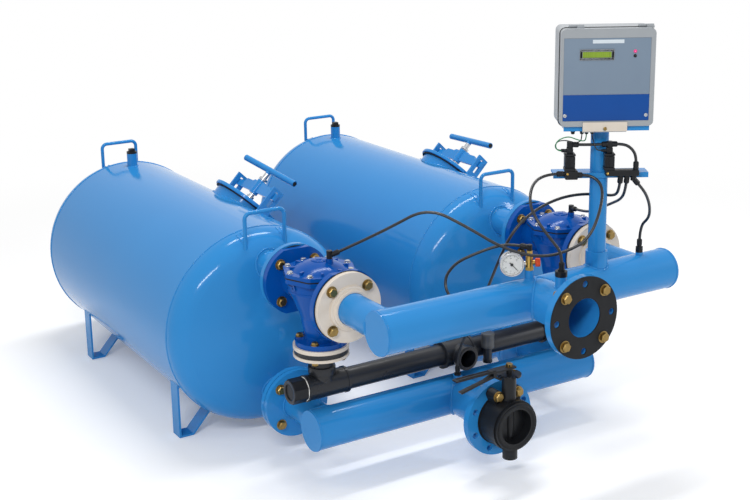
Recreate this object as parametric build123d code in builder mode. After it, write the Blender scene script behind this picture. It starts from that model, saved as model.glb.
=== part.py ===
from build123d import *
import os
from math import atan2, cos, pi, radians, sin, tan

# Twin horizontal media filter for drip irrigation, all sizes in millimetres.
# Two lying pressure tanks stand side by side. At their front heads an upper header
# feeds dirty water through a three-way backwash valve into each tank, a lower header
# collects the clean water, and a black pipe under the valves takes the backwash away.
# X runs along the headers, Y along the tanks to the rear, Z up from the floor.

os.makedirs("parts", exist_ok=True)

# The front weld line of the tanks and the plane midway between them, set so that the
# origin is the middle of the whole filter's footprint.
MID_X = -15.83
WELD_Y = -112.25

# Tanks
TANK_SIDES = {1: -1, 2: 1}
TANK_PITCH = 840.0
TANK_RADIUS = 300.0
TANK_AXIS_Z = 336.0
TANK_WALL = 5.0
BARREL = 1050.0
HEAD_DEPTH = 130.0
KNUCKLE = 80.0
CROWN = 589.0

# Closure: a round lid on a short neck, held by a bridge between two slotted lugs
CLOSURE_TILT = 46.0
CLOSURE_Y = 521.0
NECK_RADIUS = 109.5
NECK_BORE = 103.5
NECK_TOP = 309.0
SEAL_THICKNESS = 4.0
LID_RADIUS = 122.5
LID_THICKNESS = 12.0
LUG_OFFSET = 131.0
LUG_THICKNESS = 8.0
LUG_WIDTH = 46.0
LUG_TOP = 402.0
SLOT_WIDTH = 13.0
SLOT_LOW = 336.0
SLOT_HIGH = 392.0
BRIDGE_THICKNESS = 10.0
BOSS_RADIUS = 15.0
BOSS_LOW = 356.0
BOSS_HIGH = 409.0
SCREW_RADIUS = 9.0
SCREW_PITCH = 4.0
HANDLE_BAR_HEIGHT = 455.0
HANDLE_BAR_LENGTH = 260.0
HANDLE_BAR_RADIUS = 10.7
HANDLE_BAR_TURN = {1: 17.0, 2: -3.0}
PAD_RADIUS = 26.0
RUNNING_GAP = 0.1

# Pipework: 3 inch nozzles, 4 inch headers, drilled flanges
NOZZLE_RADIUS = 44.45
NOZZLE_BORE = 39.0
HEADER_RADIUS = 57.15
HEADER_BORE = 52.0
CAP_THICKNESS = 5.0
FLANGE_RADIUS = 100.0
FLANGE_THICKNESS = 16.0
FLANGE_CIRCLE = 152.0
MAIN_FLANGE_RADIUS = 110.0
MAIN_FLANGE_THICKNESS = 20.0
MAIN_CIRCLE = 180.0
MAIN_HOLES = 8
BOLT_HOLE = 9.0
BOLT_RADIUS = 8.0
GASKET = 3.0
UPPER_Z = 540.7
LOWER_Z = 159.5
TANK_FLANGE_Y = -237.0
OUTLET_FLANGE_Y = -213.0
INLET_HEADER_Y = -748.6
INLET_HEADER_ENDS = (-465.0, 499.0)
INLET_X = 35.0
INLET_FACE_Y = -942.0
INLET_GASKET = 3.5
OUTLET_HEADER_Y = -422.8
OUTLET_HEADER_ENDS = (-481.0, 488.0)
OUTLET_X = 6.0
OUTLET_FACE_Y = -634.0

# Backwash valves: a round barrel with a pipe flange front and rear and a port below
VALVE_Y = -383.0
VALVE_HALF = 143.0
VALVE_FLANGE = 18.0
FLAT_HEIGHT = 92.0
BARREL_RADIUS = 88.0
CHAMBER_RADIUS = 77.0
THROAT_RADIUS = 48.0
WAIST = (55.0, 474.0)
SHOULDER = (88.0, 552.0)
CHAMBER_FLOOR = 448.0
VALVE_TOP = 594.0
DIAPHRAGM = 4.0
BONNET_PLATE = 10.0
BONNET_RADIUS = 103.0
BONNET_TOP = 632.0
BOSS_TOP = 640.0
SCREW_CIRCLE = 89.0
PORT_RADIUS = 34.0
PORT_FLANGE_RADIUS = 72.0
PORT_TOP = 408.0
PORT_FACE = 394.0
PORT_CIRCLE = 122.0
PORT_HOLE = 7.0
STEM_RADIUS = 8.0
STROKE_GAP = 0.5

# Backwash pipe below the valves
RING_RADIUS = 78.0
RING_BORE = 38.0
RING_TOP_THICKNESS = 11.0
STUB_FLANGE_THICKNESS = 14.0
RING_LOW_THICKNESS = 8.0
DRAIN_Z = 270.0
DRAIN_RADIUS = 31.5
DRAIN_BORE = 27.0
TEE_RADIUS = 36.0
DRAIN_END = 477.0
DRAIN_OUTLET_X = 28.0


def spot(x, y, z):
    """A point given from the plane between the tanks, the front weld and the floor."""
    return Vector(MID_X + x, WELD_Y + y, z)


def facing_front(x, y, z):
    """A plane whose normal points to the front, with X to its right and Z up."""
    return Plane(origin=spot(x, y, z), x_dir=(1, 0, 0), z_dir=(0, -1, 0))


def facing_rear(x, y, z):
    """A plane whose normal points to the rear."""
    return Plane(origin=spot(x, y, z), x_dir=(1, 0, 0), z_dir=(0, 1, 0))


def facing_up(x, y, z):
    """A level plane."""
    return Plane(origin=spot(x, y, z))


def facing_right(x, y, z):
    """A plane whose normal points along +X, with Y to its right and Z up."""
    return Plane(origin=spot(x, y, z), x_dir=(0, 1, 0), z_dir=(1, 0, 0))


def closure_plane(tank_x, height, turn=0.0):
    """A plane square to the closure's axis, with the tank's axis to its right."""
    tilt = radians(CLOSURE_TILT)
    normal = Vector(cos(tilt), 0, sin(tilt))
    across = Vector(0, 1, 0).rotate(Axis((0, 0, 0), normal), turn)
    return Plane(origin=spot(tank_x, CLOSURE_Y, TANK_AXIS_Z) + normal * height, x_dir=across, z_dir=normal)


def pipe(plane, outer, bore, length, mode=Mode.ADD):
    """A straight round pipe, or a rod if it has no bore, grown along the plane's normal."""
    with BuildSketch(plane) as section:
        Circle(outer)
        if bore:
            Circle(bore, mode=Mode.SUBTRACT)
    extrude(section.sketch, amount=length, mode=mode)


def drilled_disc(plane, outer, bore, circle, holes, thickness, start=45.0, hole=BOLT_HOLE, flats=0.0):
    """A flange or gasket: a disc with a bore and bolt holes, cut flat above and below if asked."""
    with BuildSketch(plane) as section:
        Circle(outer)
        if flats:
            Rectangle(2 * outer, 2 * flats, mode=Mode.INTERSECT)
        if bore:
            Circle(bore, mode=Mode.SUBTRACT)
        with PolarLocations(circle / 2, holes, start_angle=start):
            Circle(hole, mode=Mode.SUBTRACT)
    extrude(section.sketch, amount=thickness)


def hexagon(plane, across_corners, thickness, mode=Mode.ADD):
    """A hexagonal head, nut or plug body."""
    with BuildSketch(plane) as section:
        RegularPolygon(across_corners / 2, 6)
    extrude(section.sketch, amount=thickness, mode=mode)


def finish(builder, name):
    """Label a finished piece and write it."""
    builder.part.label = name
    export_step(builder.part, f"parts/{name}.step")


def dish(end_y, outward, inset):
    """One head's curve from the barrel to the tank's axis: a knuckle arc, then a crown arc."""
    knuckle_centre = TANK_RADIUS - KNUCKLE
    crown_centre = CROWN - HEAD_DEPTH
    lean = atan2(crown_centre, knuckle_centre)
    knuckle = KNUCKLE - inset
    crown = CROWN - inset
    points = []
    for angle in (0, lean / 2, lean):
        points.append((end_y + outward * knuckle * sin(angle), knuckle_centre + knuckle * cos(angle)))
    ThreePointArc(*points)
    rim = points[-1]
    lean = (lean + pi / 2) / 2
    middle = (end_y + outward * (crown * sin(lean) - crown_centre), crown * cos(lean))
    ThreePointArc(rim, middle, (end_y + outward * (crown - crown_centre), 0))


def tank_solid(tank_x, inset):
    """The tank's outline as a solid, smaller by inset all round."""
    with BuildPart(mode=Mode.PRIVATE) as solid:
        with BuildSketch(facing_right(tank_x, 0, TANK_AXIS_Z)) as outline:
            with BuildLine():
                dish(0, -1, inset)
                Line((0, TANK_RADIUS - inset), (BARREL, TANK_RADIUS - inset))
                dish(BARREL, 1, inset)
                Line((-HEAD_DEPTH + inset, 0), (BARREL + HEAD_DEPTH - inset, 0))
            make_face()
        revolve(outline.sketch, axis=Axis(spot(tank_x, 0, TANK_AXIS_Z), (0, 1, 0)))
    return solid.part


ENVELOPES = {number: tank_solid(side * TANK_PITCH / 2, 0) for number, side in TANK_SIDES.items()}


# Tank vessels: a rolled barrel with two dished heads, open at the neck, nozzles and vent
VENT_Y = 985.0
VENT_RADIUS = 18.0
VENT_BORE = 13.0
VENT_HEIGHT = 45.0

for number, side in TANK_SIDES.items():
    tank_x = side * TANK_PITCH / 2
    with BuildPart() as vessel:
        add(ENVELOPES[number])
        add(tank_solid(tank_x, TANK_WALL), mode=Mode.SUBTRACT)
        pipe(closure_plane(tank_x, 200), NECK_BORE, 0, 140, Mode.SUBTRACT)
        pipe(facing_front(tank_x, -40, UPPER_Z), NOZZLE_BORE, 0, 100, Mode.SUBTRACT)
        pipe(facing_front(tank_x, -40, LOWER_Z), NOZZLE_BORE, 0, 100, Mode.SUBTRACT)
        pipe(facing_up(tank_x, VENT_Y, TANK_AXIS_Z + 250), VENT_BORE, 0, 60, Mode.SUBTRACT)
    finish(vessel, f"tank_{number}_vessel")


# Legs: four bent flat bars under each tank, with a level foot between two rising arms
LEG_WIDTH = 50.0
LEG_THICKNESS = 6.0
LEG_Y = (83.0, 852.0)
LEG_OUTER = 248.0
FOOT_INNER = 206.0
LEG_TOP = (250.0, 190.0)
LEG_BRACE_TOP = (128.0, 90.0)

half = LEG_THICKNESS / 2
with BuildPart() as legs:
    for number, side in TANK_SIDES.items():
        tank_x = side * TANK_PITCH / 2
        for leg_y in LEG_Y:
            for flip in (-1, 1):
                with BuildSketch(facing_front(tank_x, leg_y + LEG_WIDTH / 2, 0)) as bar:
                    with BuildLine():
                        Polyline(
                            (flip * LEG_OUTER, LEG_TOP[1]),
                            (flip * LEG_OUTER, half),
                            (flip * FOOT_INNER, half),
                            (flip * LEG_BRACE_TOP[0], LEG_BRACE_TOP[1]),
                        )
                        offset(amount=half, kind=Kind.INTERSECTION)
                    make_face()
                extrude(bar.sketch, amount=LEG_WIDTH)
        add(ENVELOPES[number], mode=Mode.SUBTRACT)
finish(legs, "tank_legs")


# Lifting handles: a bent rod at each end of both tanks, its feet laid on the head
HANDLE_HALF = 64.0
HANDLE_TOP = 698.0
HANDLE_ROD = 6.0
HANDLE_BEND = 18.0
HANDLE_OUT = 62.0
HANDLE_BASE = 596.0
FOOT_RISE = 30.0

with BuildPart() as handles:
    for number, side in TANK_SIDES.items():
        for end_y, outward in ((0.0, -1), (BARREL, 1)):
            rod_y = end_y + outward * HANDLE_OUT
            handle_x = side * TANK_PITCH / 2
            with BuildLine() as bow:
                FilletPolyline(
                    spot(handle_x - HANDLE_HALF, rod_y, HANDLE_BASE - 12),
                    spot(handle_x - HANDLE_HALF, rod_y, HANDLE_TOP),
                    spot(handle_x + HANDLE_HALF, rod_y, HANDLE_TOP),
                    spot(handle_x + HANDLE_HALF, rod_y, HANDLE_BASE - 12),
                    radius=HANDLE_BEND,
                )
            with BuildSketch(facing_up(handle_x - HANDLE_HALF, rod_y, HANDLE_BASE - 12)) as section:
                Circle(HANDLE_ROD)
            sweep(section.sketch, path=bow.line)
            for foot in (-1, 1):
                heel = spot(handle_x + foot * HANDLE_HALF, rod_y, HANDLE_BASE)
                up_head = Vector(0, -outward, 1).normalized()
                toe = Plane(origin=heel, x_dir=(1, 0, 0), z_dir=up_head)
                pipe(toe, HANDLE_ROD, 0, FOOT_RISE)
        add(ENVELOPES[number], mode=Mode.SUBTRACT)
finish(handles, "tank_handles")


# Nozzles welded to the tanks: flanged inlet above, flanged outlet below, vent socket on top
with BuildPart() as nozzles:
    for number, side in TANK_SIDES.items():
        tank_x = side * TANK_PITCH / 2
        for flange_y, nozzle_z in ((TANK_FLANGE_Y, UPPER_Z), (OUTLET_FLANGE_Y, LOWER_Z)):
            pipe(facing_rear(tank_x, flange_y, nozzle_z), NOZZLE_RADIUS, NOZZLE_BORE, 180)
            drilled_disc(
                facing_rear(tank_x, flange_y, nozzle_z), FLANGE_RADIUS, NOZZLE_BORE, FLANGE_CIRCLE, 4,
                FLANGE_THICKNESS,
            )
        pipe(facing_up(tank_x, VENT_Y, TANK_AXIS_Z + 285), VENT_RADIUS, VENT_BORE, 15 + VENT_HEIGHT)
        add(ENVELOPES[number], mode=Mode.SUBTRACT)
finish(nozzles, "tank_nozzles")


# Closure of each tank
for number, side in TANK_SIDES.items():
    tank_x = side * TANK_PITCH / 2
    lid_top = NECK_TOP + SEAL_THICKNESS + LID_THICKNESS

    # The neck is a short pipe with two slotted lugs, all welded to the barrel.
    with BuildPart() as neck:
        pipe(closure_plane(tank_x, 240), NECK_RADIUS, NECK_BORE, NECK_TOP - 240)
        for end in (-1, 1):
            face = closure_plane(tank_x, 0)
            lug_face = Plane(
                origin=face.from_local_coords(Vector(end * LUG_OFFSET - LUG_THICKNESS / 2, 0, 0)),
                x_dir=face.y_dir, z_dir=face.x_dir,
            )
            with BuildSketch(lug_face) as lug:
                with Locations((0, (LUG_TOP + 280) / 2)):
                    Rectangle(LUG_WIDTH, LUG_TOP - 280)
                with Locations((0, (SLOT_LOW + SLOT_HIGH) / 2)):
                    Rectangle(SLOT_WIDTH, SLOT_HIGH - SLOT_LOW, mode=Mode.SUBTRACT)
            extrude(lug.sketch, amount=LUG_THICKNESS)
        add(ENVELOPES[number], mode=Mode.SUBTRACT)
    finish(neck, f"tank_{number}_neck")

    with BuildPart() as lid:
        pipe(closure_plane(tank_x, NECK_TOP + SEAL_THICKNESS), LID_RADIUS, 0, LID_THICKNESS)
        fillet(lid.edges().filter_by(GeomType.CIRCLE), 3)
    finish(lid, f"tank_{number}_lid")

    # The bridge is a stepped plate on edge whose tongues pass through the lugs.
    with BuildPart() as bridge:
        face = closure_plane(tank_x, 0)
        side_on = Plane(
            origin=face.from_local_coords(Vector(0, -BRIDGE_THICKNESS / 2, 0)), x_dir=-face.x_dir, z_dir=face.y_dir,
        )
        with BuildSketch(side_on) as outline:
            with BuildLine():
                Polyline(
                    (-147, 363), (147, 363), (147, 386), (98, 386), (84, 399), (46, 399), (38, 405),
                    (-38, 405), (-46, 399), (-84, 399), (-98, 386), (-147, 386), close=True,
                )
            make_face()
        extrude(outline.sketch, amount=BRIDGE_THICKNESS)
        pipe(closure_plane(tank_x, BOSS_LOW), BOSS_RADIUS, 0, BOSS_HIGH - BOSS_LOW)
        pipe(closure_plane(tank_x, BOSS_LOW - 1), SCREW_RADIUS + RUNNING_GAP, 0, 80, Mode.SUBTRACT)
    finish(bridge, f"tank_{number}_bridge")

    # The tee-handled screw runs down through the boss into the pad's cup.
    with BuildPart() as screw:
        pipe(closure_plane(tank_x, lid_top + 8), SCREW_RADIUS - 2, 0, 16)
        pipe(closure_plane(tank_x, lid_top + 22), SCREW_RADIUS, 0, HANDLE_BAR_HEIGHT - lid_top - 22)
        bar = closure_plane(tank_x, HANDLE_BAR_HEIGHT, HANDLE_BAR_TURN[number])
        bar_end = Plane(
            origin=bar.from_local_coords(Vector(-HANDLE_BAR_LENGTH / 2, 0, 0)), x_dir=bar.y_dir, z_dir=bar.x_dir,
        )
        pipe(bar_end, HANDLE_BAR_RADIUS, 0, HANDLE_BAR_LENGTH)
    finish(screw, f"tank_{number}_clamp_screw")

    with BuildPart() as pad:
        pipe(closure_plane(tank_x, lid_top), PAD_RADIUS, 0, 8)
        pipe(closure_plane(tank_x, lid_top + 8), 13, SCREW_RADIUS - 2 + RUNNING_GAP, 13)
    finish(pad, f"tank_{number}_clamp_pad")

with BuildPart() as seals:
    for side in TANK_SIDES.values():
        pipe(closure_plane(side * TANK_PITCH / 2, NECK_TOP), 117, NECK_BORE, SEAL_THICKNESS)
finish(seals, "lid_gaskets")


# Inside the tanks: a slotted collector pipe with side arms, buried in the media bed
MEDIA_HALF_HEIGHT = 40.0
COLLECTOR_RADIUS = 30.0
ARM_RADIUS = 12.0
ARM_PITCH = 150.0
ARM_COUNT = 6
ARM_REACH = 170.0


def collector(tank_x, grow=0.0):
    """The collector pipe with its side arms, made larger by grow where the bed leaves room."""
    pipe(facing_rear(tank_x, -60, LOWER_Z), COLLECTOR_RADIUS + grow, 0, 1060)
    for step in range(ARM_COUNT):
        arm_y = 150 + step * ARM_PITCH
        pipe(facing_right(tank_x - ARM_REACH, arm_y, LOWER_Z), ARM_RADIUS + grow, 0, 2 * ARM_REACH)


with BuildPart() as underdrains:
    for side in TANK_SIDES.values():
        collector(side * TANK_PITCH / 2)
finish(underdrains, "underdrains")

with BuildPart() as beds:
    for number, side in TANK_SIDES.items():
        tank_x = side * TANK_PITCH / 2
        with BuildPart(mode=Mode.PRIVATE) as bed:
            add(tank_solid(tank_x, TANK_WALL + 1))
            split(bisect_by=facing_up(tank_x, 0, TANK_AXIS_Z + MEDIA_HALF_HEIGHT), keep=Keep.BOTTOM)
        add(bed.part)
    for side in TANK_SIDES.values():
        with BuildPart(mode=Mode.PRIVATE) as room:
            collector(side * TANK_PITCH / 2, 0.5)
        add(room.part, mode=Mode.SUBTRACT)
finish(beds, "media_beds")


# Backwash valves


def bonnet_outline(plane, thickness, bore=0.0):
    """The eight-cornered outline that the body, diaphragm and bonnet share."""
    with BuildSketch(plane) as section:
        RegularPolygon(BONNET_RADIUS, 8)
        fillet(section.vertices(), 13)
        if bore:
            Circle(bore, mode=Mode.SUBTRACT)
    extrude(section.sketch, amount=thickness)


for number, side in TANK_SIDES.items():
    valve_x = side * TANK_PITCH / 2
    upright = Plane(origin=spot(valve_x, VALVE_Y, 0), x_dir=(1, 0, 0), z_dir=(0, -1, 0))
    spindle = Axis(spot(valve_x, VALVE_Y, 0), (0, 0, 1))

    # One casting: a waisted barrel, two flanged necks cut flat, and a port flange below.
    with BuildPart() as body:
        with BuildSketch(upright) as shell:
            with BuildLine():
                Line((0, PORT_FACE), (PORT_FLANGE_RADIUS, PORT_FACE))
                Line((PORT_FLANGE_RADIUS, PORT_FACE), (PORT_FLANGE_RADIUS, PORT_TOP))
                Line((PORT_FLANGE_RADIUS, PORT_TOP), (44, PORT_TOP))
                Line((44, PORT_TOP), (44, PORT_TOP + 12))
                ThreePointArc((44, PORT_TOP + 12), (50, 442), WAIST)
                ThreePointArc(WAIST, (70, 514), SHOULDER)
                Line(SHOULDER, (BARREL_RADIUS, VALVE_TOP))
                Line((BARREL_RADIUS, VALVE_TOP), (0, VALVE_TOP))
                Line((0, VALVE_TOP), (0, PORT_FACE))
            make_face()
        revolve(shell.sketch, axis=spindle)
        bonnet_outline(facing_up(valve_x, VALVE_Y, VALVE_TOP - 12), 12)
        for face_y, outward in ((VALVE_Y - VALVE_HALF, -1), (VALVE_Y + VALVE_HALF, 1)):
            pipe(facing_front(valve_x, VALVE_Y, UPPER_Z), 52, 0, outward * -VALVE_HALF)
            drilled_disc(
                facing_rear(valve_x, face_y, UPPER_Z), FLANGE_RADIUS, 0, FLANGE_CIRCLE, 4,
                -outward * VALVE_FLANGE, flats=FLAT_HEIGHT,
            )
        pipe(facing_front(valve_x, VALVE_Y + VALVE_HALF + 1, UPPER_Z), NOZZLE_BORE, 0, 2 * VALVE_HALF + 2,
             Mode.SUBTRACT)
        with BuildSketch(upright) as chamber:
            with BuildLine():
                Polyline(
                    (0, CHAMBER_FLOOR), (THROAT_RADIUS, CHAMBER_FLOOR), (THROAT_RADIUS, 488),
                    (CHAMBER_RADIUS, 546), (CHAMBER_RADIUS, VALVE_TOP + 6), (0, VALVE_TOP + 6), close=True,
                )
            make_face()
        revolve(chamber.sketch, axis=spindle, mode=Mode.SUBTRACT)
        pipe(facing_up(valve_x, VALVE_Y, PORT_FACE - 1), PORT_RADIUS, 0, 100, Mode.SUBTRACT)
        with BuildSketch(facing_up(valve_x, VALVE_Y, PORT_FACE)) as holes:
            with PolarLocations(PORT_CIRCLE / 2, 4, start_angle=45):
                Circle(PORT_HOLE)
        extrude(holes.sketch, amount=PORT_TOP - PORT_FACE, mode=Mode.SUBTRACT)
    finish(body, f"valve_{number}_body")

    with BuildPart() as diaphragm:
        bonnet_outline(facing_up(valve_x, VALVE_Y, VALVE_TOP), DIAPHRAGM, STEM_RADIUS + STROKE_GAP)
    finish(diaphragm, f"valve_{number}_diaphragm")

    # The bonnet is an eight-sided plate with a shallow ribbed dome over the diaphragm.
    plate_low = VALVE_TOP + DIAPHRAGM
    plate_top = plate_low + BONNET_PLATE
    with BuildPart() as bonnet:
        bonnet_outline(facing_up(valve_x, VALVE_Y, plate_low), BONNET_PLATE)
        with BuildSketch(upright) as dome:
            with BuildLine():
                ThreePointArc((0, BONNET_TOP), (42, BONNET_TOP - 6), (76, plate_top))
                Line((76, plate_top), (76, plate_low))
                Line((76, plate_low), (0, plate_low))
                Line((0, plate_low), (0, BONNET_TOP))
            make_face()
        revolve(dome.sketch, axis=spindle)
        pipe(facing_up(valve_x + 16, VALVE_Y - 30, plate_top), 10, 0, BOSS_TOP - plate_top)
        for spoke in range(8):
            rib = Plane(origin=spot(valve_x, VALVE_Y, plate_top - 1), z_dir=(0, 0, 1)).rotated((0, 0, spoke * 45 + 22.5))
            with BuildSketch(rib) as web:
                with Locations((58, 0)):
                    Rectangle(44, 6)
            extrude(web.sketch, amount=9)
        with BuildSketch(upright) as hollow:
            with BuildLine():
                ThreePointArc((0, BONNET_TOP - 7), (40, BONNET_TOP - 11.5), (66, plate_top + 2))
                Line((66, plate_top + 2), (66, plate_low))
                Line((66, plate_low), (0, plate_low))
                Line((0, plate_low), (0, BONNET_TOP - 7))
            make_face()
        revolve(hollow.sketch, axis=spindle, mode=Mode.SUBTRACT)
    finish(bonnet, f"valve_{number}_bonnet")

    # The plug is a stem with a seat disc below and two plates that hold the diaphragm.
    with BuildPart() as plug:
        pipe(facing_up(valve_x, VALVE_Y, CHAMBER_FLOOR + 0.3), 44, 0, 10)
        pipe(facing_up(valve_x, VALVE_Y, CHAMBER_FLOOR + 5), STEM_RADIUS, 0, VALVE_TOP + 8 - CHAMBER_FLOOR)
        pipe(facing_up(valve_x, VALVE_Y, VALVE_TOP - STROKE_GAP - 7), 58, 0, 7)
        pipe(facing_up(valve_x, VALVE_Y, plate_low + STROKE_GAP), 40, 0, 4)
    finish(plug, f"valve_{number}_plug")

with BuildPart() as bonnet_screws:
    for side in TANK_SIDES.values():
        plate_top = VALVE_TOP + DIAPHRAGM + BONNET_PLATE
        for spoke in range(8):
            angle = radians(spoke * 45)
            x = side * TANK_PITCH / 2 + SCREW_CIRCLE * cos(angle)
            y = VALVE_Y + SCREW_CIRCLE * sin(angle)
            hexagon(facing_up(x, y, plate_top), 15, 6)
finish(bonnet_screws, "bonnet_screws")


# Headers


def header(ends, y, z, bore_mode):
    """The outside of a header pipe, or its bore where bore_mode subtracts it."""
    low, high = ends
    if bore_mode == Mode.SUBTRACT:
        pipe(facing_right(low + CAP_THICKNESS, y, z), HEADER_BORE, 0, high - low - 2 * CAP_THICKNESS, bore_mode)
    else:
        pipe(facing_right(low, y, z), HEADER_RADIUS, 0, high - low)


POST_X = 243.0
SOCKET_TOP = 637.0
SOCKET_RADIUS = 30.0
POST_RADIUS = 24.15
STUB_X = 35.0
STUB_Y = -850.0
STUB_TOP = 627.0
GAUGE_X = 11.0
GAUGE_STUB_TOP = 622.0
RING_Y = VALVE_Y - VALVE_HALF - GASKET

CONE_TAP = (400.0, 90.0)
REAR_TAP = (-156.0, 0.0)


def tap(place, reach):
    """A point on a radial line of the inlet header: how far along, how steep, how far out."""
    along, steep = place
    lean = radians(steep)
    return spot(along, INLET_HEADER_Y + reach * cos(lean), UPPER_Z + reach * sin(lean))


with BuildPart() as inlet_header:
    header(INLET_HEADER_ENDS, INLET_HEADER_Y, UPPER_Z, Mode.ADD)
    for side in TANK_SIDES.values():
        branch_x = side * TANK_PITCH / 2
        pipe(facing_rear(branch_x, INLET_HEADER_Y, UPPER_Z), NOZZLE_RADIUS, 0, RING_Y - INLET_HEADER_Y)
    pipe(facing_front(INLET_X, INLET_HEADER_Y, UPPER_Z), HEADER_RADIUS, 0, INLET_HEADER_Y - INLET_FACE_Y)
    drilled_disc(
        facing_rear(INLET_X, INLET_FACE_Y, UPPER_Z), MAIN_FLANGE_RADIUS, 0, MAIN_CIRCLE, MAIN_HOLES,
        MAIN_FLANGE_THICKNESS, start=0,
    )
    pipe(facing_up(STUB_X, STUB_Y, UPPER_Z), 15, 0, STUB_TOP - UPPER_Z)
    pipe(facing_up(GAUGE_X, INLET_HEADER_Y, UPPER_Z), 12, 0, GAUGE_STUB_TOP - UPPER_Z)
    pipe(facing_up(POST_X, INLET_HEADER_Y, UPPER_Z), SOCKET_RADIUS, 0, SOCKET_TOP - UPPER_Z)
    for place, length in ((CONE_TAP, 64), (REAR_TAP, 62)):
        pipe(Plane(origin=tap(place, 0), z_dir=tap(place, 1) - tap(place, 0)), 10, 0, length)
    pipe(facing_up(POST_X, INLET_HEADER_Y, UPPER_Z + HEADER_RADIUS + 2), POST_RADIUS + 0.2, 0, 60, Mode.SUBTRACT)
    pipe(facing_up(STUB_X, STUB_Y, UPPER_Z), 10, 0, 100, Mode.SUBTRACT)
    pipe(facing_up(GAUGE_X, INLET_HEADER_Y, UPPER_Z), 6, 0, 100, Mode.SUBTRACT)
    header(INLET_HEADER_ENDS, INLET_HEADER_Y, UPPER_Z, Mode.SUBTRACT)
    for side in TANK_SIDES.values():
        branch_x = side * TANK_PITCH / 2
        pipe(facing_rear(branch_x, INLET_HEADER_Y, UPPER_Z), NOZZLE_BORE, 0, 300, Mode.SUBTRACT)
    pipe(facing_front(INLET_X, INLET_HEADER_Y, UPPER_Z), HEADER_BORE, 0, 300, Mode.SUBTRACT)
finish(inlet_header, "inlet_header")

PILOT_TAP_X = -14.0
PILOT_TAP_Y = -458.0
PILOT_TAP_TOP = 232.0

with BuildPart() as outlet_header:
    header(OUTLET_HEADER_ENDS, OUTLET_HEADER_Y, LOWER_Z, Mode.ADD)
    near_flange_y = OUTLET_FLANGE_Y - GASKET
    for side in TANK_SIDES.values():
        branch_x = side * TANK_PITCH / 2
        pipe(facing_rear(branch_x, OUTLET_HEADER_Y, LOWER_Z), NOZZLE_RADIUS, 0, near_flange_y - OUTLET_HEADER_Y)
        drilled_disc(
            facing_front(branch_x, near_flange_y, LOWER_Z), FLANGE_RADIUS, 0, FLANGE_CIRCLE, 4, FLANGE_THICKNESS,
        )
    pipe(facing_front(OUTLET_X, OUTLET_HEADER_Y, LOWER_Z), HEADER_RADIUS, 0, OUTLET_HEADER_Y - OUTLET_FACE_Y)
    drilled_disc(
        facing_rear(OUTLET_X, OUTLET_FACE_Y, LOWER_Z), MAIN_FLANGE_RADIUS, 0, MAIN_CIRCLE, MAIN_HOLES,
        MAIN_FLANGE_THICKNESS, start=22.5,
    )
    pipe(facing_up(PILOT_TAP_X, PILOT_TAP_Y, LOWER_Z), 13, 0, PILOT_TAP_TOP - LOWER_Z)
    header(OUTLET_HEADER_ENDS, OUTLET_HEADER_Y, LOWER_Z, Mode.SUBTRACT)
    for side in TANK_SIDES.values():
        branch_x = side * TANK_PITCH / 2
        pipe(facing_rear(branch_x, OUTLET_HEADER_Y, LOWER_Z), NOZZLE_BORE, 0, 300, Mode.SUBTRACT)
    pipe(facing_front(OUTLET_X, OUTLET_HEADER_Y, LOWER_Z), HEADER_BORE, 0, 300, Mode.SUBTRACT)
finish(outlet_header, "outlet_header")


# Backwash pipe: black pipe and fittings, with a flanged branch up to each valve
ring_top_low = PORT_FACE - RING_TOP_THICKNESS
stub_low = ring_top_low - STUB_FLANGE_THICKNESS
ring_low_low = stub_low - RING_LOW_THICKNESS
OUTLET_REACH = 68.0
NIPPLE_X = 115.0
NIPPLE_Y = VALVE_Y - 46.0

with BuildPart() as drain_pipe:
    pipe(facing_right(-DRAIN_END, VALVE_Y, DRAIN_Z), DRAIN_RADIUS, 0, 2 * DRAIN_END)
    for side in TANK_SIDES.values():
        tee_x = side * TANK_PITCH / 2
        pipe(facing_right(side * (DRAIN_END - 132), VALVE_Y, DRAIN_Z), TEE_RADIUS, 0, side * 132)
        pipe(facing_up(tee_x, VALVE_Y, DRAIN_Z), 33, 0, stub_low - DRAIN_Z)
        drilled_disc(facing_up(tee_x, VALVE_Y, stub_low), 75, 0, PORT_CIRCLE, 4, STUB_FLANGE_THICKNESS,
                     hole=PORT_HOLE)
    pipe(facing_right(DRAIN_OUTLET_X - 52, VALVE_Y, DRAIN_Z), 39, 0, 104)
    pipe(facing_front(DRAIN_OUTLET_X, VALVE_Y, DRAIN_Z), 32, 0, OUTLET_REACH)
    pipe(facing_front(DRAIN_OUTLET_X, VALVE_Y - OUTLET_REACH + 16, DRAIN_Z), 35, 0, 16)
    pipe(facing_up(NIPPLE_X, NIPPLE_Y, 236), 13, 0, 44)
    pipe(facing_up(NIPPLE_X, NIPPLE_Y, 279), 19, 0, 45)
    pipe(facing_right(-DRAIN_END - 1, VALVE_Y, DRAIN_Z), DRAIN_BORE, 0, 2 * DRAIN_END + 2, Mode.SUBTRACT)
    pipe(facing_front(DRAIN_OUTLET_X, VALVE_Y, DRAIN_Z), 26, 0, 200, Mode.SUBTRACT)
    for side in TANK_SIDES.values():
        pipe(facing_up(side * TANK_PITCH / 2, VALVE_Y, DRAIN_Z), DRAIN_BORE - 0.5, 0, 200, Mode.SUBTRACT)
finish(drain_pipe, "backwash_pipe")

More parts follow.
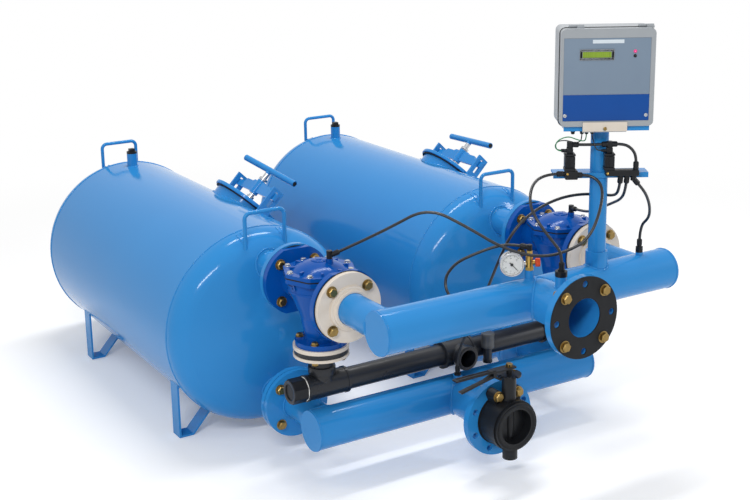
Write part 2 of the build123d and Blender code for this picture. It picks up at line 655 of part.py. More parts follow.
# Loose backing rings on the valves' manifold side and on the backwash branches
with BuildPart() as rings:
    for side in TANK_SIDES.values():
        ring_x = side * TANK_PITCH / 2
        drilled_disc(
            facing_front(ring_x, RING_Y, UPPER_Z), 95.4, NOZZLE_RADIUS + 0.3, FLANGE_CIRCLE, 4, FLANGE_THICKNESS,
        )
        pipe(facing_front(ring_x, RING_Y, UPPER_Z), 61, NOZZLE_RADIUS + 0.3, FLANGE_THICKNESS + 4)
        drilled_disc(facing_up(ring_x, VALVE_Y, ring_top_low), RING_RADIUS, PORT_RADIUS, PORT_CIRCLE, 4,
                     RING_TOP_THICKNESS, hole=PORT_HOLE)
        drilled_disc(facing_up(ring_x, VALVE_Y, ring_low_low), RING_RADIUS, 33.3, PORT_CIRCLE, 4,
                     RING_LOW_THICKNESS, hole=PORT_HOLE)
finish(rings, "flange_rings")

with BuildPart() as gaskets:
    for side in TANK_SIDES.values():
        x = side * TANK_PITCH / 2
        drilled_disc(facing_front(x, TANK_FLANGE_Y, UPPER_Z), 95, NOZZLE_BORE, FLANGE_CIRCLE, 4, GASKET)
        drilled_disc(facing_rear(x, RING_Y, UPPER_Z), 97, NOZZLE_BORE, FLANGE_CIRCLE, 4, GASKET)
        drilled_disc(facing_front(x, OUTLET_FLANGE_Y, LOWER_Z), 97, NOZZLE_BORE, FLANGE_CIRCLE, 4, GASKET)
    drilled_disc(
        facing_front(INLET_X, INLET_FACE_Y, UPPER_Z), MAIN_FLANGE_RADIUS - 1, HEADER_BORE, MAIN_CIRCLE,
        MAIN_HOLES, INLET_GASKET, start=0,
    )
    pipe(facing_front(OUTLET_X, OUTLET_FACE_Y, LOWER_Z), 76, HEADER_BORE, GASKET)
finish(gaskets, "flange_gaskets")


# Butterfly valve on the outlet: an eared body, a disc on a stem, a lever with a trigger
BUTTERFLY_BACK = OUTLET_FACE_Y - GASKET
BUTTERFLY_Y = BUTTERFLY_BACK - 37.5
BUTTERFLY_RADIUS = 73.0
BUTTERFLY_BORE = 50.3
EAR_ANGLES = (67.5, 112.5)
EAR_RADIUS = 16.0
EAR_DEPTH = 34.0
DISC_RADIUS = 49.9
DISC_THICKNESS = 12.0
BUTTERFLY_STEM = 8.0
NECK_PLATE_Z = 300.0
LEVER_Z = 322.0
LEVER_END = -178.0
TRIGGER_PIVOT = (-50.0, 312.0)

with BuildPart() as butterfly_body:
    with BuildSketch(facing_front(OUTLET_X, BUTTERFLY_BACK, LOWER_Z)) as eared:
        Circle(BUTTERFLY_RADIUS)
        for angle in EAR_ANGLES:
            with PolarLocations(MAIN_CIRCLE / 2, 1, start_angle=angle):
                Circle(EAR_RADIUS)
            with PolarLocations(MAIN_CIRCLE / 4, 1, start_angle=angle):
                Rectangle(MAIN_CIRCLE / 2, 2 * EAR_RADIUS)
        for angle in EAR_ANGLES:
            with PolarLocations(MAIN_CIRCLE / 2, 1, start_angle=angle):
                Circle(BOLT_HOLE, mode=Mode.SUBTRACT)
    extrude(eared.sketch, amount=EAR_DEPTH)
    pipe(facing_front(OUTLET_X, BUTTERFLY_BACK, LOWER_Z), BUTTERFLY_RADIUS, 0, 66)
    pipe(facing_front(OUTLET_X, BUTTERFLY_BACK, LOWER_Z), BUTTERFLY_RADIUS - 4, 0, 75)
    pipe(facing_up(OUTLET_X, BUTTERFLY_Y - 8, LOWER_Z - 102), 21, 0, 60)
    pipe(facing_up(OUTLET_X, BUTTERFLY_Y, LOWER_Z), 20, 0, NECK_PLATE_Z - LOWER_Z)
    pipe(facing_up(OUTLET_X, BUTTERFLY_Y, NECK_PLATE_Z), 34, 0, 5)
    pipe(facing_front(OUTLET_X, BUTTERFLY_BACK + 1, LOWER_Z), BUTTERFLY_BORE, 0, 80, Mode.SUBTRACT)
    pipe(facing_up(OUTLET_X, BUTTERFLY_Y, LOWER_Z - 64), BUTTERFLY_STEM + 0.15, 0, 300, Mode.SUBTRACT)
    with BuildSketch(facing_up(OUTLET_X, BUTTERFLY_Y, NECK_PLATE_Z)) as notches:
        for angle in (180, 202.5, 225, 247.5, 270):
            with PolarLocations(31, 1, start_angle=angle):
                Rectangle(8, 7)
    extrude(notches.sketch, amount=5, mode=Mode.SUBTRACT)
finish(butterfly_body, "butterfly_body")

with BuildPart() as butterfly_disc:
    pipe(facing_front(OUTLET_X, BUTTERFLY_Y + DISC_THICKNESS / 2, LOWER_Z), DISC_RADIUS, 0, DISC_THICKNESS)
    pipe(facing_up(OUTLET_X, BUTTERFLY_Y, LOWER_Z - 42), 11, 0, 84)
    pipe(facing_up(OUTLET_X, BUTTERFLY_Y, LOWER_Z - 62), BUTTERFLY_STEM, 0, LEVER_Z - LOWER_Z + 62)
finish(butterfly_disc, "butterfly_disc")

with BuildPart() as butterfly_lever:
    with BuildSketch(facing_up(0, BUTTERFLY_Y, LEVER_Z)) as blade:
        with BuildLine():
            Polyline(
                (OUTLET_X + 16, -14), (OUTLET_X + 16, 14), (-40, 14), (-70, 10), (LEVER_END, 11),
                (LEVER_END, -11), (-70, -10), (-40, -14), close=True,
            )
        make_face()
        fillet(blade.vertices(), 3)
    extrude(blade.sketch, amount=4)
    hexagon(facing_up(OUTLET_X, BUTTERFLY_Y, LEVER_Z + 4), 19, 7)
    pivot_x, pivot_z = TRIGGER_PIVOT
    for side in (-1, 1):
        cheek = facing_front(pivot_x, BUTTERFLY_Y + side * 10 + 1.5, 0)
        with BuildSketch(cheek) as ear:
            with Locations((0, (pivot_z + LEVER_Z) / 2)):
                Rectangle(10, LEVER_Z - pivot_z)
            with Locations((0, pivot_z)):
                Circle(5)
        extrude(ear.sketch, amount=3)
    pipe(facing_front(pivot_x, BUTTERFLY_Y + 11.5, pivot_z), 2.5, 0, 23)
finish(butterfly_lever, "butterfly_lever")

# The trigger hangs on the lever's pin, with its tooth just below the notched plate.
with BuildPart() as butterfly_trigger:
    trigger_plane = facing_front(0, BUTTERFLY_Y + 7, 0)
    with BuildSketch(trigger_plane) as arm:
        with BuildLine():
            Polyline(
                (-24, 299), (-24, 294), (-30, 294), (pivot_x, pivot_z - 6), (-80, 300), (-157, 283),
                (-161, 288), (-82, 304), (pivot_x, pivot_z + 5), (-34, 303), (-32, 299), close=True,
            )
        make_face()
        with Locations((pivot_x, pivot_z)):
            Circle(2.7, mode=Mode.SUBTRACT)
    extrude(arm.sketch, amount=14)
finish(butterfly_trigger, "butterfly_trigger")


# Control stand, turned to face the walkway: post, shelf, box and pilot valves
CONTROL_TURN = 31.4
ALONG = Vector(cos(radians(CONTROL_TURN)), -sin(radians(CONTROL_TURN)), 0)
OUT = Vector(-sin(radians(CONTROL_TURN)), -cos(radians(CONTROL_TURN)), 0)
SHELF_TOP = 990.0
BOX_LEFT = -117.0
BOX_RIGHT = 127.0
BOX_TOP = 1247.0
BOX_BACK = -50.0
BOX_PART_LINE = 35.0
BOX_FRONT = 60.0
BOX_WALL = 4.0
BOX_CORNER = 14.0
HINGE_Z = 1251.5
HINGE_RADIUS = 4.0
LIP_OUT = 29.0


def on_post(along, out, z):
    """A point measured from the post's axis, along the stand's face and out of it."""
    return spot(POST_X, INLET_HEADER_Y, z) + ALONG * along + OUT * out


def stand_front(along, out, z):
    """A plane facing out of the stand, with Z up."""
    return Plane(origin=on_post(along, out, z), x_dir=ALONG, z_dir=OUT)


def stand_up(along, out, z):
    """A level plane turned with the stand; its local Y runs to the stand's back."""
    return Plane(origin=on_post(along, out, z), x_dir=ALONG, z_dir=(0, 0, 1))


def stand_side(along, out, z):
    """A plane whose normal runs along the stand's face, with Z up and local X to the back."""
    return Plane(origin=on_post(along, out, z), x_dir=-OUT, z_dir=ALONG)


def block(plane, low, high, thickness, mode=Mode.ADD):
    """A box over the rectangle from low to high in the plane."""
    with BuildSketch(plane) as section:
        with Locations(((low[0] + high[0]) / 2, (low[1] + high[1]) / 2)):
            Rectangle(high[0] - low[0], high[1] - low[1])
    extrude(section.sketch, amount=thickness, mode=mode)


def box_outline(out, depth, inset=0.0, mode=Mode.ADD, bottom=SHELF_TOP):
    """The box's rounded outline, grown to the back from the given distance out."""
    with BuildSketch(stand_front((BOX_LEFT + BOX_RIGHT) / 2, out, (bottom + BOX_TOP) / 2)) as section:
        RectangleRounded(BOX_RIGHT - BOX_LEFT - 2 * inset, BOX_TOP - bottom - 2 * inset, BOX_CORNER - inset)
    extrude(section.sketch, amount=-depth, mode=mode)


with BuildPart() as controller_post:
    pipe(facing_up(POST_X, INLET_HEADER_Y, 600), POST_RADIUS, POST_RADIUS - 3, SHELF_TOP - 6 - 600)
    block(stand_up(0, 0, SHELF_TOP - 6), (-105, -52), (119, 48), 6)
    block(stand_front(0, 52, 0), (-105, 978), (119, SHELF_TOP), -3)
    block(stand_up(0, 0, 855), (-126, -LIP_OUT), (127, 22), 5)
    block(stand_front(0, LIP_OUT, 0), (-126, 846), (127, 860), -5)
    pipe(facing_up(POST_X, INLET_HEADER_Y, 601), POST_RADIUS - 3, 0, SHELF_TOP - 7 - 601, Mode.SUBTRACT)
finish(controller_post, "controller_post")

with BuildPart() as controller_box:
    box_outline(BOX_PART_LINE, BOX_PART_LINE - BOX_BACK)
    box_outline(BOX_PART_LINE + 1, BOX_PART_LINE - BOX_BACK - BOX_WALL + 1, BOX_WALL, Mode.SUBTRACT)
    for along in (-90, 100):
        for z in (1030, 1210):
            pipe(stand_front(along, BOX_BACK + BOX_WALL, z), 4, 0, 8)
    for along in (-95, 85):
        pipe(stand_side(along, BOX_PART_LINE, HINGE_Z), HINGE_RADIUS, 0, 20)
        pipe(stand_side(along + 1, BOX_PART_LINE, HINGE_Z), 2, 0, 39)
        block(stand_side(along, 0, 0), (-BOX_PART_LINE + 0.6, BOX_TOP - 1), (-BOX_PART_LINE + 10, HINGE_Z - 0.8), 20)
finish(controller_box, "controller_box")

COVER_BACK = BOX_PART_LINE + 0.4
COVER_BOTTOM = SHELF_TOP + 1.5

with BuildPart() as controller_cover:
    box_outline(BOX_FRONT, BOX_FRONT - COVER_BACK, bottom=COVER_BOTTOM)
    box_outline(BOX_FRONT - 3.5, BOX_FRONT - COVER_BACK, 3.5, Mode.SUBTRACT, COVER_BOTTOM)
    block(stand_front(0, BOX_FRONT - 1.2, 0), (-110, 1006), (115, 1223), 1.2, Mode.SUBTRACT)
    block(stand_front(0, BOX_FRONT - 1.2, 0), (-69, 1166), (20, 1194), 3.2)
    block(stand_front(0, BOX_FRONT, 0), (-62, 1172), (13, 1188), 2, Mode.SUBTRACT)
    for z in (1176, 1188):
        pipe(stand_front(74, BOX_FRONT - 1.2, z), 3, 0, 4)
    for along in (-104, 107):
        pipe(stand_front(along, BOX_FRONT - 1.2, 1020.8), 4.5, 0, 2.6)
    block(stand_front(0, BOX_FRONT, 0), (-58, 977), (57, 1003), 2.5)
    pipe(stand_front(0, BOX_FRONT + 2.5, 985), 5, 0, 3)
    for along in (-74.5, 105.5):
        pipe(stand_side(along, BOX_PART_LINE, HINGE_Z), HINGE_RADIUS, 0, 19)
        block(stand_side(along, 0, 0), (-BOX_PART_LINE - 10, BOX_TOP - 1), (-BOX_PART_LINE - 0.5, HINGE_Z), 19)
        pipe(stand_side(along, BOX_PART_LINE, HINGE_Z), 2.3, 0, 19, Mode.SUBTRACT)
finish(controller_cover, "controller_cover")

BOARD_OUT = BOX_BACK + BOX_WALL + 8

with BuildPart() as controller_board:
    block(stand_front(0, BOARD_OUT, 0), (-98, 1020), (108, 1220), 1.6)
    block(stand_front(0, BOARD_OUT + 1.6, 0), (-88, 1030), (98, 1046), 14)
    block(stand_front(0, BOARD_OUT + 1.6, 0), (-80, 1150), (-35, 1200), 30)
    block(stand_front(0, BOARD_OUT + 1.6, 0), (10, 1100), (35, 1125), 3)
    block(stand_front(0, BOARD_OUT + 1.6, 0), (55, 1085), (75, 1130), 4)
    for step in range(4):
        block(stand_front(0, BOARD_OUT + 1.6, 0), (-70 + step * 30, 1060), (-50 + step * 30, 1085), 16)
    for along in (50, 78):
        pipe(stand_front(along, BOARD_OUT + 1.6, 1175), 9, 0, 24)
finish(controller_board, "controller_board")

SOLENOID_PLACES = {1: (-98, -65), 2: (9, 97)}
SOLENOID_BODY = {1: (-101, -72), 2: (4, 32)}
SOLENOID_FOOT = {1: 848, 2: 856}
for number, (base_low, base_high) in SOLENOID_PLACES.items():
    low, high = SOLENOID_BODY[number]
    with BuildPart() as solenoid:
        middle = (low + high) / 2
        block(stand_front(0, LIP_OUT, 0), (base_low, SOLENOID_FOOT[number]), (base_high, 872), 28)
        block(stand_front(0, LIP_OUT, 0), (low, 871), (high, 918), 30)
        block(stand_front(0, LIP_OUT + 5, 0), (middle - 8, 917), (middle + 8, 933), 20)
        pipe(stand_up(middle, LIP_OUT + 15, 932), 6, 0, 2)
    finish(solenoid, f"solenoid_{number}")


# Pressure gauge on a small cock beside the main branch
GAUGE_OFFSET = -47.0
GAUGE_Z = 639.0
GAUGE_RADIUS = 31.5
GAUGE_DEPTH = 28.0


def at_gauge(along, out, z):
    """A point measured from the gauge cock's axis."""
    return spot(GAUGE_X, INLET_HEADER_Y, z) + ALONG * along + OUT * out


def gauge_front(along, out, z):
    """A plane facing out of the gauge's dial."""
    return Plane(origin=at_gauge(along, out, z), x_dir=ALONG, z_dir=OUT)


def gauge_side(along, out, z):
    """A plane whose normal runs along the gauge's stem."""
    return Plane(origin=at_gauge(along, out, z), x_dir=-OUT, z_dir=ALONG)


with BuildPart() as gauge_body:
    pipe(gauge_front(GAUGE_OFFSET, -GAUGE_DEPTH / 2, GAUGE_Z), GAUGE_RADIUS, 0, GAUGE_DEPTH)
    pipe(gauge_front(GAUGE_OFFSET, GAUGE_DEPTH / 2 - 6, GAUGE_Z), GAUGE_RADIUS - 3, 0, 10, Mode.SUBTRACT)
    pipe(gauge_front(GAUGE_OFFSET, GAUGE_DEPTH / 2 - 7, GAUGE_Z), 1.4, 0, 4.5)
    pipe(gauge_side(GAUGE_OFFSET + 28, 0, GAUGE_Z), 7, 0, 9)
finish(gauge_body, "gauge_body")

with BuildPart() as gauge_needle:
    pointing = (ALONG - Vector(0, 0, 1)).normalized()
    dial = Plane(origin=at_gauge(GAUGE_OFFSET, GAUGE_DEPTH / 2 - 4.5, GAUGE_Z), x_dir=pointing, z_dir=OUT)
    with BuildSketch(dial) as pointer:
        Circle(4)
        with BuildLine():
            Polyline((-8, -1.5), (-8, 1.5), (23, 0.4), (23, -0.4), close=True)
        make_face()
        Circle(1.7, mode=Mode.SUBTRACT)
    extrude(pointer.sketch, amount=1)
finish(gauge_needle, "gauge_needle")

with BuildPart() as gauge_cock:
    hexagon(facing_up(GAUGE_X, INLET_HEADER_Y, GAUGE_STUB_TOP), 24, 9)
    pipe(facing_up(GAUGE_X, INLET_HEADER_Y, GAUGE_STUB_TOP + 9), 9.5, 0, 29)
    pipe(facing_up(GAUGE_X, INLET_HEADER_Y, GAUGE_STUB_TOP + 38), 7, 0, 5)
    hexagon(facing_up(GAUGE_X, INLET_HEADER_Y, GAUGE_STUB_TOP + 43), 17, 10)
    pipe(gauge_side(GAUGE_OFFSET + 37, 0, GAUGE_Z), 6, 0, 10)
    pipe(gauge_side(0, 0, GAUGE_Z + 3), 6.5, 0, 14)
    pipe(gauge_side(5, 0, GAUGE_Z + 3), 3.8, 0, 20, Mode.SUBTRACT)
finish(gauge_cock, "gauge_cock")

with BuildPart() as gauge_knob:
    pipe(gauge_side(6, 0, GAUGE_Z + 3), 3.5, 0, 10)
    with BuildSketch(gauge_side(16, 0, GAUGE_Z + 3)) as grip:
        Circle(11.5)
        with PolarLocations(11.5, 12):
            Circle(1.2, mode=Mode.SUBTRACT)
    extrude(grip.sketch, amount=12)
finish(gauge_knob, "gauge_knob")


# Plugs and caps
VENT_TOP = TANK_AXIS_Z + TANK_RADIUS + VENT_HEIGHT

with BuildPart() as plugs:
    for side in TANK_SIDES.values():
        vent_x = side * TANK_PITCH / 2
        pipe(facing_up(vent_x, VENT_Y, VENT_TOP - 14), VENT_BORE - 0.2, 0, 14)
        pipe(facing_up(vent_x, VENT_Y, VENT_TOP), VENT_RADIUS, 0, 7)
        block(facing_up(vent_x, VENT_Y, VENT_TOP + 7), (-9, -9), (9, 9), 10)
        end = facing_right(side * (DRAIN_END + 3), VALVE_Y, DRAIN_Z)
        with BuildSketch(end) as octagon:
            RegularPolygon(36, 8, rotation=22.5)
        extrude(octagon.sketch, amount=side * 40)
        pipe(facing_right(side * (DRAIN_END - 14), VALVE_Y, DRAIN_Z), DRAIN_BORE - 0.3, 0, side * 18)
    pipe(facing_up(STUB_X, STUB_Y, STUB_TOP), 16, 0, 14)
finish(plugs, "plugs")


# Bolts: heads on one side, nuts on the other


def bolt(head, length, radius=BOLT_RADIUS, nut=True):
    """A bolt whose head sits on the plane and whose shank runs against the plane's normal."""
    hexagon(head, 3.3 * radius, 1.25 * radius)
    pipe(head, radius, 0, -length - 1.9 * radius if nut else -length)
    if nut:
        hexagon(head.offset(-length), 3.3 * radius, -1.5 * radius)


def bolt_ring(plane, circle, holes, start, length, radius=BOLT_RADIUS):
    """A ring of bolts around the plane's origin."""
    for step in range(holes):
        angle = radians(start + step * 360 / holes)
        corner = plane.from_local_coords(Vector(circle / 2 * cos(angle), circle / 2 * sin(angle), 0))
        bolt(Plane(origin=corner, x_dir=plane.x_dir, z_dir=plane.z_dir), length, radius)


with BuildPart() as flange_bolts:
    for side in TANK_SIDES.values():
        x = side * TANK_PITCH / 2
        ring_face = facing_front(x, RING_Y - FLANGE_THICKNESS, UPPER_Z)
        bolt_ring(ring_face, FLANGE_CIRCLE, 4, 45, FLANGE_THICKNESS + GASKET + VALVE_FLANGE)
        rear_face = facing_front(x, VALVE_Y + VALVE_HALF - VALVE_FLANGE, UPPER_Z)
        bolt_ring(rear_face, FLANGE_CIRCLE, 4, 45, VALVE_FLANGE + GASKET + FLANGE_THICKNESS)
        low_face = facing_front(x, OUTLET_FLANGE_Y - GASKET - FLANGE_THICKNESS, LOWER_Z)
        bolt_ring(low_face, FLANGE_CIRCLE, 4, 45, 2 * FLANGE_THICKNESS + GASKET)
        bolt_ring(facing_up(x, VALVE_Y, PORT_TOP), PORT_CIRCLE, 4, 45, PORT_TOP - ring_low_low, 6)
    inlet_face = facing_front(INLET_X, INLET_FACE_Y - INLET_GASKET, UPPER_Z)
    bolt_ring(inlet_face, MAIN_CIRCLE, 4, 45, MAIN_FLANGE_THICKNESS + INLET_GASKET)
    for angle in EAR_ANGLES:
        x = OUTLET_X + MAIN_CIRCLE / 2 * cos(radians(angle))
        z = LOWER_Z + MAIN_CIRCLE / 2 * sin(radians(angle))
        bolt(facing_front(x, BUTTERFLY_BACK - EAR_DEPTH, z), EAR_DEPTH + GASKET + MAIN_FLANGE_THICKNESS)
finish(flange_bolts, "flange_bolts")


# Control tubes and wires
TUBE_RADIUS = 4.0
WIRE_RADIUS = 1.5
FITTING_RADIUS = 6.5
GLAND_RADIUS = 3.5


def cord(points, radius, name):
    """A tube or wire through the points, each turn as wide as the runs beside it allow."""
    turns = []
    for before, corner, after in zip(points, points[1:], points[2:]):
        run_in = corner - before
        run_out = after - corner
        half_turn = radians(run_in.get_angle(run_out)) / 2
        turns.append(0.45 * min(run_in.length, run_out.length) / tan(half_turn))
    with BuildPart() as strand:
        with BuildLine() as route:
            FilletPolyline(*points, radius=turns)
        with BuildSketch(Plane(origin=points[0], z_dir=points[1] - points[0])) as section:
            Circle(radius)
        sweep(section.sketch, path=route.line)
    ideal = pi * radius**2 * sum(edge.length for edge in route.line.edges())
    print(name, "least turn", round(min(turns), 1), "volume share", round(strand.part.volume / ideal, 4))
    finish(strand, name)


TUBE_ROUTES = {
    "tube_1": [
        spot(-389, -422, 655), spot(-345, -455, 681), spot(-280, -518, 729), spot(-200, -585, 789),
        spot(-128, -662, 741), spot(-62, -735, 687), spot(20, -800, 664), spot(102, -838, 692),
        on_post(-40, 146, 727), on_post(-18, 122, 772), on_post(-4.2, 90.2, 810.8), on_post(-4.2, 66.2, 834.8),
        on_post(-16.2, 51.5, 849.5), on_post(-37, 43, 858), on_post(-61, 43, 858),
    ],
    "tube_2": [
        on_post(-110, 43, 862), on_post(-148, 43, 862), on_post(-190, 82, 846), on_post(-204, 145, 805),
        on_post(-183, 180, 765), on_post(-150, 194, 722), on_post(-124, 196, 690), on_post(-124, 196, 655),
    ],
    "tube_3": [on_post(-73, 44, 941), on_post(-33, 44, 939.5), on_post(7, 44, 941)],
    "tube_4": [
        on_post(29, 44, 941), on_post(57, 44, 941), on_post(77.8, 44, 928), on_post(89.8, 44, 907.2),
        on_post(89.8, 44, 883.2),
    ],
    "tube_5": [
        on_post(50, 41, 843), on_post(50, 29, 812), on_post(46, -4, 788), on_post(18, -42, 782),
        on_post(-36, -50, 783), on_post(-98, -26, 779), on_post(-160, 16, 764), on_post(-212, 44, 733),
        on_post(-246, 54, 688), spot(-10, -648, 632), spot(-14, -620, 572), spot(-14, -584, 504),
        spot(-14, -534, 425), spot(-14, -484, 345), spot(-14, -458, 290), spot(-14, -458, 250),
    ],
    "tube_6": [
        on_post(67, 41, 843), on_post(67, 30, 812), on_post(66, -14, 776), on_post(52, -88, 744),
        on_post(38, -170, 710), on_post(28, -250, 678), on_post(12, -325, 660), spot(432.6, -430.7, 655),
    ],
    "tube_7": [
        on_post(92, 43, 838), on_post(109.6, 37, 818.5), on_post(128.4, 16, 790.8), on_post(144.9, -16, 751.6),
        on_post(151.2, -51, 711), tap(CONE_TAP, 140), tap(CONE_TAP, 92),
    ],
    "tube_8": [
        spot(3, -734, 684), spot(-17, -697, 685), spot(-49, -668, 674), spot(-88, -640, 655),
        spot(-124.8, -611.8, 631.7), spot(-146.6, -595.5, 599.2), spot(-154.4, -597.8, 573.2),
        spot(-156.7, -611.1, 552.6), tap(REAR_TAP, 116), tap(REAR_TAP, 91.6),
    ],
}
WIRE_ROUTES = {
    "wire_1_green": [
        on_post(-42, 34, 972), on_post(-42, 34, 955.5), on_post(-50, 49, 950), on_post(-72, 60, 958),
        on_post(-90, 61, 966), on_post(-107, 59, 963), on_post(-122, 54, 953), on_post(-126, 50, 938),
        on_post(-118, 48, 925), on_post(-104.5, 48, 925),
    ],
    "wire_1_black": [
        on_post(-54, 34, 972), on_post(-54, 34, 958), on_post(-60, 50, 950), on_post(-76, 60, 949),
        on_post(-92, 58, 954), on_post(-106, 54, 955), on_post(-120, 48, 951), on_post(-126, 42, 938),
        on_post(-119.5, 38, 925), on_post(-104.5, 38, 925),
    ],
    "wire_2_black": [
        on_post(-27, 34, 972), on_post(-27, 34, 958), on_post(-25, 50, 950), on_post(-22, 57, 937),
        on_post(-15, 50, 925), on_post(0, 50, 925),
    ],
}
TUBE_FITTINGS = {
    "tube_1": (18, 4), "tube_2": (12, 9), "tube_3": (13.5, 11), "tube_4": (11, 6), "tube_5": (7, 14),
    "tube_6": (7, 18), "tube_7": (11, 28), "tube_8": (15, 29.6),
}
WIRE_GLANDS = {"wire_1_green": 10, "wire_1_black": 10, "wire_2_black": 10}

for name, points in TUBE_ROUTES.items():
    cord(points, TUBE_RADIUS, name)
for name, points in WIRE_ROUTES.items():
    cord(points, WIRE_RADIUS, name)

with BuildPart() as fittings:
    for name, (start_length, end_length) in TUBE_FITTINGS.items():
        points = TUBE_ROUTES[name]
        pipe(Plane(origin=points[0], z_dir=points[0] - points[1]), FITTING_RADIUS, 0, start_length)
        pipe(Plane(origin=points[-1], z_dir=points[-1] - points[-2]), FITTING_RADIUS, 0, end_length)
    for name, end_length in WIRE_GLANDS.items():
        points = WIRE_ROUTES[name]
        pipe(Plane(origin=points[0], z_dir=points[0] - points[1]), GLAND_RADIUS, 0, 12)
        pipe(Plane(origin=points[-1], z_dir=points[-1] - points[-2]), GLAND_RADIUS, 0, end_length)
    for side in TANK_SIDES.values():
        pipe(facing_up(side * TANK_PITCH / 2 + 16, VALVE_Y - 30, BOSS_TOP), 8, 0, 22)
    pipe(facing_up(STUB_X, STUB_Y, STUB_TOP + 14), 9, 0, 5)
    for along in (-86.5, 18):
        pipe(stand_up(along, LIP_OUT + 15, 934), 8, 0, 15)
    for along in (50, 67):
        pipe(stand_up(along, 43, 846), 7.4, 0, 10)
    pipe(stand_up(84.5, 43, 842), 8, 0, 14)
    pipe(stand_up(89.8, 44, 872), 7.5, 0, 6)
    pipe(facing_up(GAUGE_X, INLET_HEADER_Y, GAUGE_STUB_TOP + 53), 7, 0, 16)
    pipe(facing_up(PILOT_TAP_X, PILOT_TAP_Y, PILOT_TAP_TOP), 10, 0, 6)
    pipe(Plane(origin=tap(CONE_TAP, 64), z_dir=tap(CONE_TAP, 1) - tap(CONE_TAP, 0)), 10, 0, 16)
finish(fittings, "tube_fittings")
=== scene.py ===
# %% [markdown]
# An irrigation media filter: two lying steel tanks, a valve on each, and the pipework between.
# The solid model gives every dimension, so this file only loads it, finishes its surfaces
# and adds what a solid model leaves out: weld beads, threads, washers, dials and tubes.

# %% Load the solid model
from math import asin, atan2, cos, hypot, pi, radians, sin

import bpy
from mathutils import Matrix, Vector
from mathutils.bvhtree import BVHTree


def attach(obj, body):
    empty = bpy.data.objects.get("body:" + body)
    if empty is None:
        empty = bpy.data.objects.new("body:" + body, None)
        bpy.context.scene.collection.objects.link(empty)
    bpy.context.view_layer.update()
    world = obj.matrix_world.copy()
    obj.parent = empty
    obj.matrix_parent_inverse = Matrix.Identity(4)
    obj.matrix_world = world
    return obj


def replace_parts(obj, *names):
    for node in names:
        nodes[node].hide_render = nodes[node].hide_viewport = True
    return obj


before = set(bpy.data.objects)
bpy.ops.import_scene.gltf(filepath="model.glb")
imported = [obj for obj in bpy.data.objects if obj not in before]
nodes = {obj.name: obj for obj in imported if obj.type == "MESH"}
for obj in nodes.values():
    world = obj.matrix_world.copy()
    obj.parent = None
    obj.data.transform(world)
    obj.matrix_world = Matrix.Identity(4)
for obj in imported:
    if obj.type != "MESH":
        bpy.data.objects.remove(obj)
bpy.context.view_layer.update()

# %% [markdown]
# The solid model is drawn in millimetres from two lines that a fitter would use: the plane
# midway between the tanks and the front weld of their heads. The same helpers stand here, so
# a place in this file reads like the same place in the drawing.

# %% Places on the object
MM = 0.001
MID_X = -15.83
WELD_Y = -112.25
TANK_X = {1: -420.0, 2: 420.0}
TANK_Z = 336.0
TANK_R = 300.0
BARREL = 1050.0
HEADER_Y = -748.6
UPPER_Z = 540.7
LOWER_Z = 159.5
VALVE_Y = -383.0
OUTLET_Y = -422.8
INLET_X, OUTLET_X = 35.0, 6.0
POST_X, GAUGE_X = 243.0, 11.0
CLOSURE_Y, VENT_Y = 521.0, 985.0
STAND_TURN = radians(31.4)
ALONG = Vector((cos(STAND_TURN), -sin(STAND_TURN), 0))
OUT = Vector((-sin(STAND_TURN), -cos(STAND_TURN), 0))
UP = Vector((0, 0, 1))
X, Y = Vector((1, 0, 0)), Vector((0, 1, 0))
FRONT = -Y


def spot(x, y, z):
    """A point in metres, given in millimetres from the mid plane, the front weld and the floor."""
    return Vector((MID_X + x, WELD_Y + y, z)) * MM


def on_post(along, out, z):
    """A point measured from the control post's axis."""
    return spot(POST_X, HEADER_Y, z) + (ALONG * along + OUT * out) * MM


def at_gauge(along, out, z):
    """A point measured from the gauge cock's axis."""
    return spot(GAUGE_X, HEADER_Y, z) + (ALONG * along + OUT * out) * MM


def tap(place, reach):
    """A point on a radial line of the upper header."""
    along, steep = place
    return spot(along, HEADER_Y + reach * cos(radians(steep)), UPPER_Z + reach * sin(radians(steep)))


def facing(origin, normal, right=None):
    """A place for a piece: its local Z along the normal, its local X to the right."""
    normal = normal.normalized()
    if right is None:
        right = X if abs(normal.x) < 0.9 else Y
    right = (right - normal * right.dot(normal)).normalized()
    turn = Matrix((right, normal.cross(right), normal)).transposed().to_4x4()
    return Matrix.Translation(origin) @ turn


# %% [markdown]
# The camera comes first. The photograph was taken from about four metres to the front left with
# a short telephoto lens, a little above the tanks, and its frame cuts the view slightly low,
# which a small lens shift repeats.

# %% Camera
CAMERA_TARGET = (-0.5, 7.5, 653.3)
CAMERA_DISTANCE = 3982.4
CAMERA_TURN = radians(-31.435)
CAMERA_RISE = radians(14.471)
CAMERA_ROLL = radians(-0.863)
FOCAL_PIXELS = 1277.5
PHOTO_WIDTH = 750
PRINCIPAL_DROP = 50

back = Vector((
    sin(CAMERA_TURN) * cos(CAMERA_RISE), -cos(CAMERA_TURN) * cos(CAMERA_RISE), sin(CAMERA_RISE),
))
level = Vector((cos(CAMERA_TURN), sin(CAMERA_TURN), 0))
upward = back.cross(level)
camera_right = level * cos(CAMERA_ROLL) + upward * sin(CAMERA_ROLL)
camera_up = upward * cos(CAMERA_ROLL) - level * sin(CAMERA_ROLL)
eye = spot(*CAMERA_TARGET) + back * CAMERA_DISTANCE * MM
camera_data = bpy.data.cameras.new("camera")
camera_data.sensor_width = 36.0
camera_data.lens = FOCAL_PIXELS / PHOTO_WIDTH * camera_data.sensor_width
camera_data.shift_y = -PRINCIPAL_DROP / PHOTO_WIDTH
camera_data.clip_end = 60.0
camera = bpy.data.objects.new("camera", camera_data)
bpy.context.scene.collection.objects.link(camera)
camera.matrix_world = Matrix.Translation(eye) @ Matrix((camera_right, camera_up, back)).transposed().to_4x4()
bpy.context.scene.camera = camera
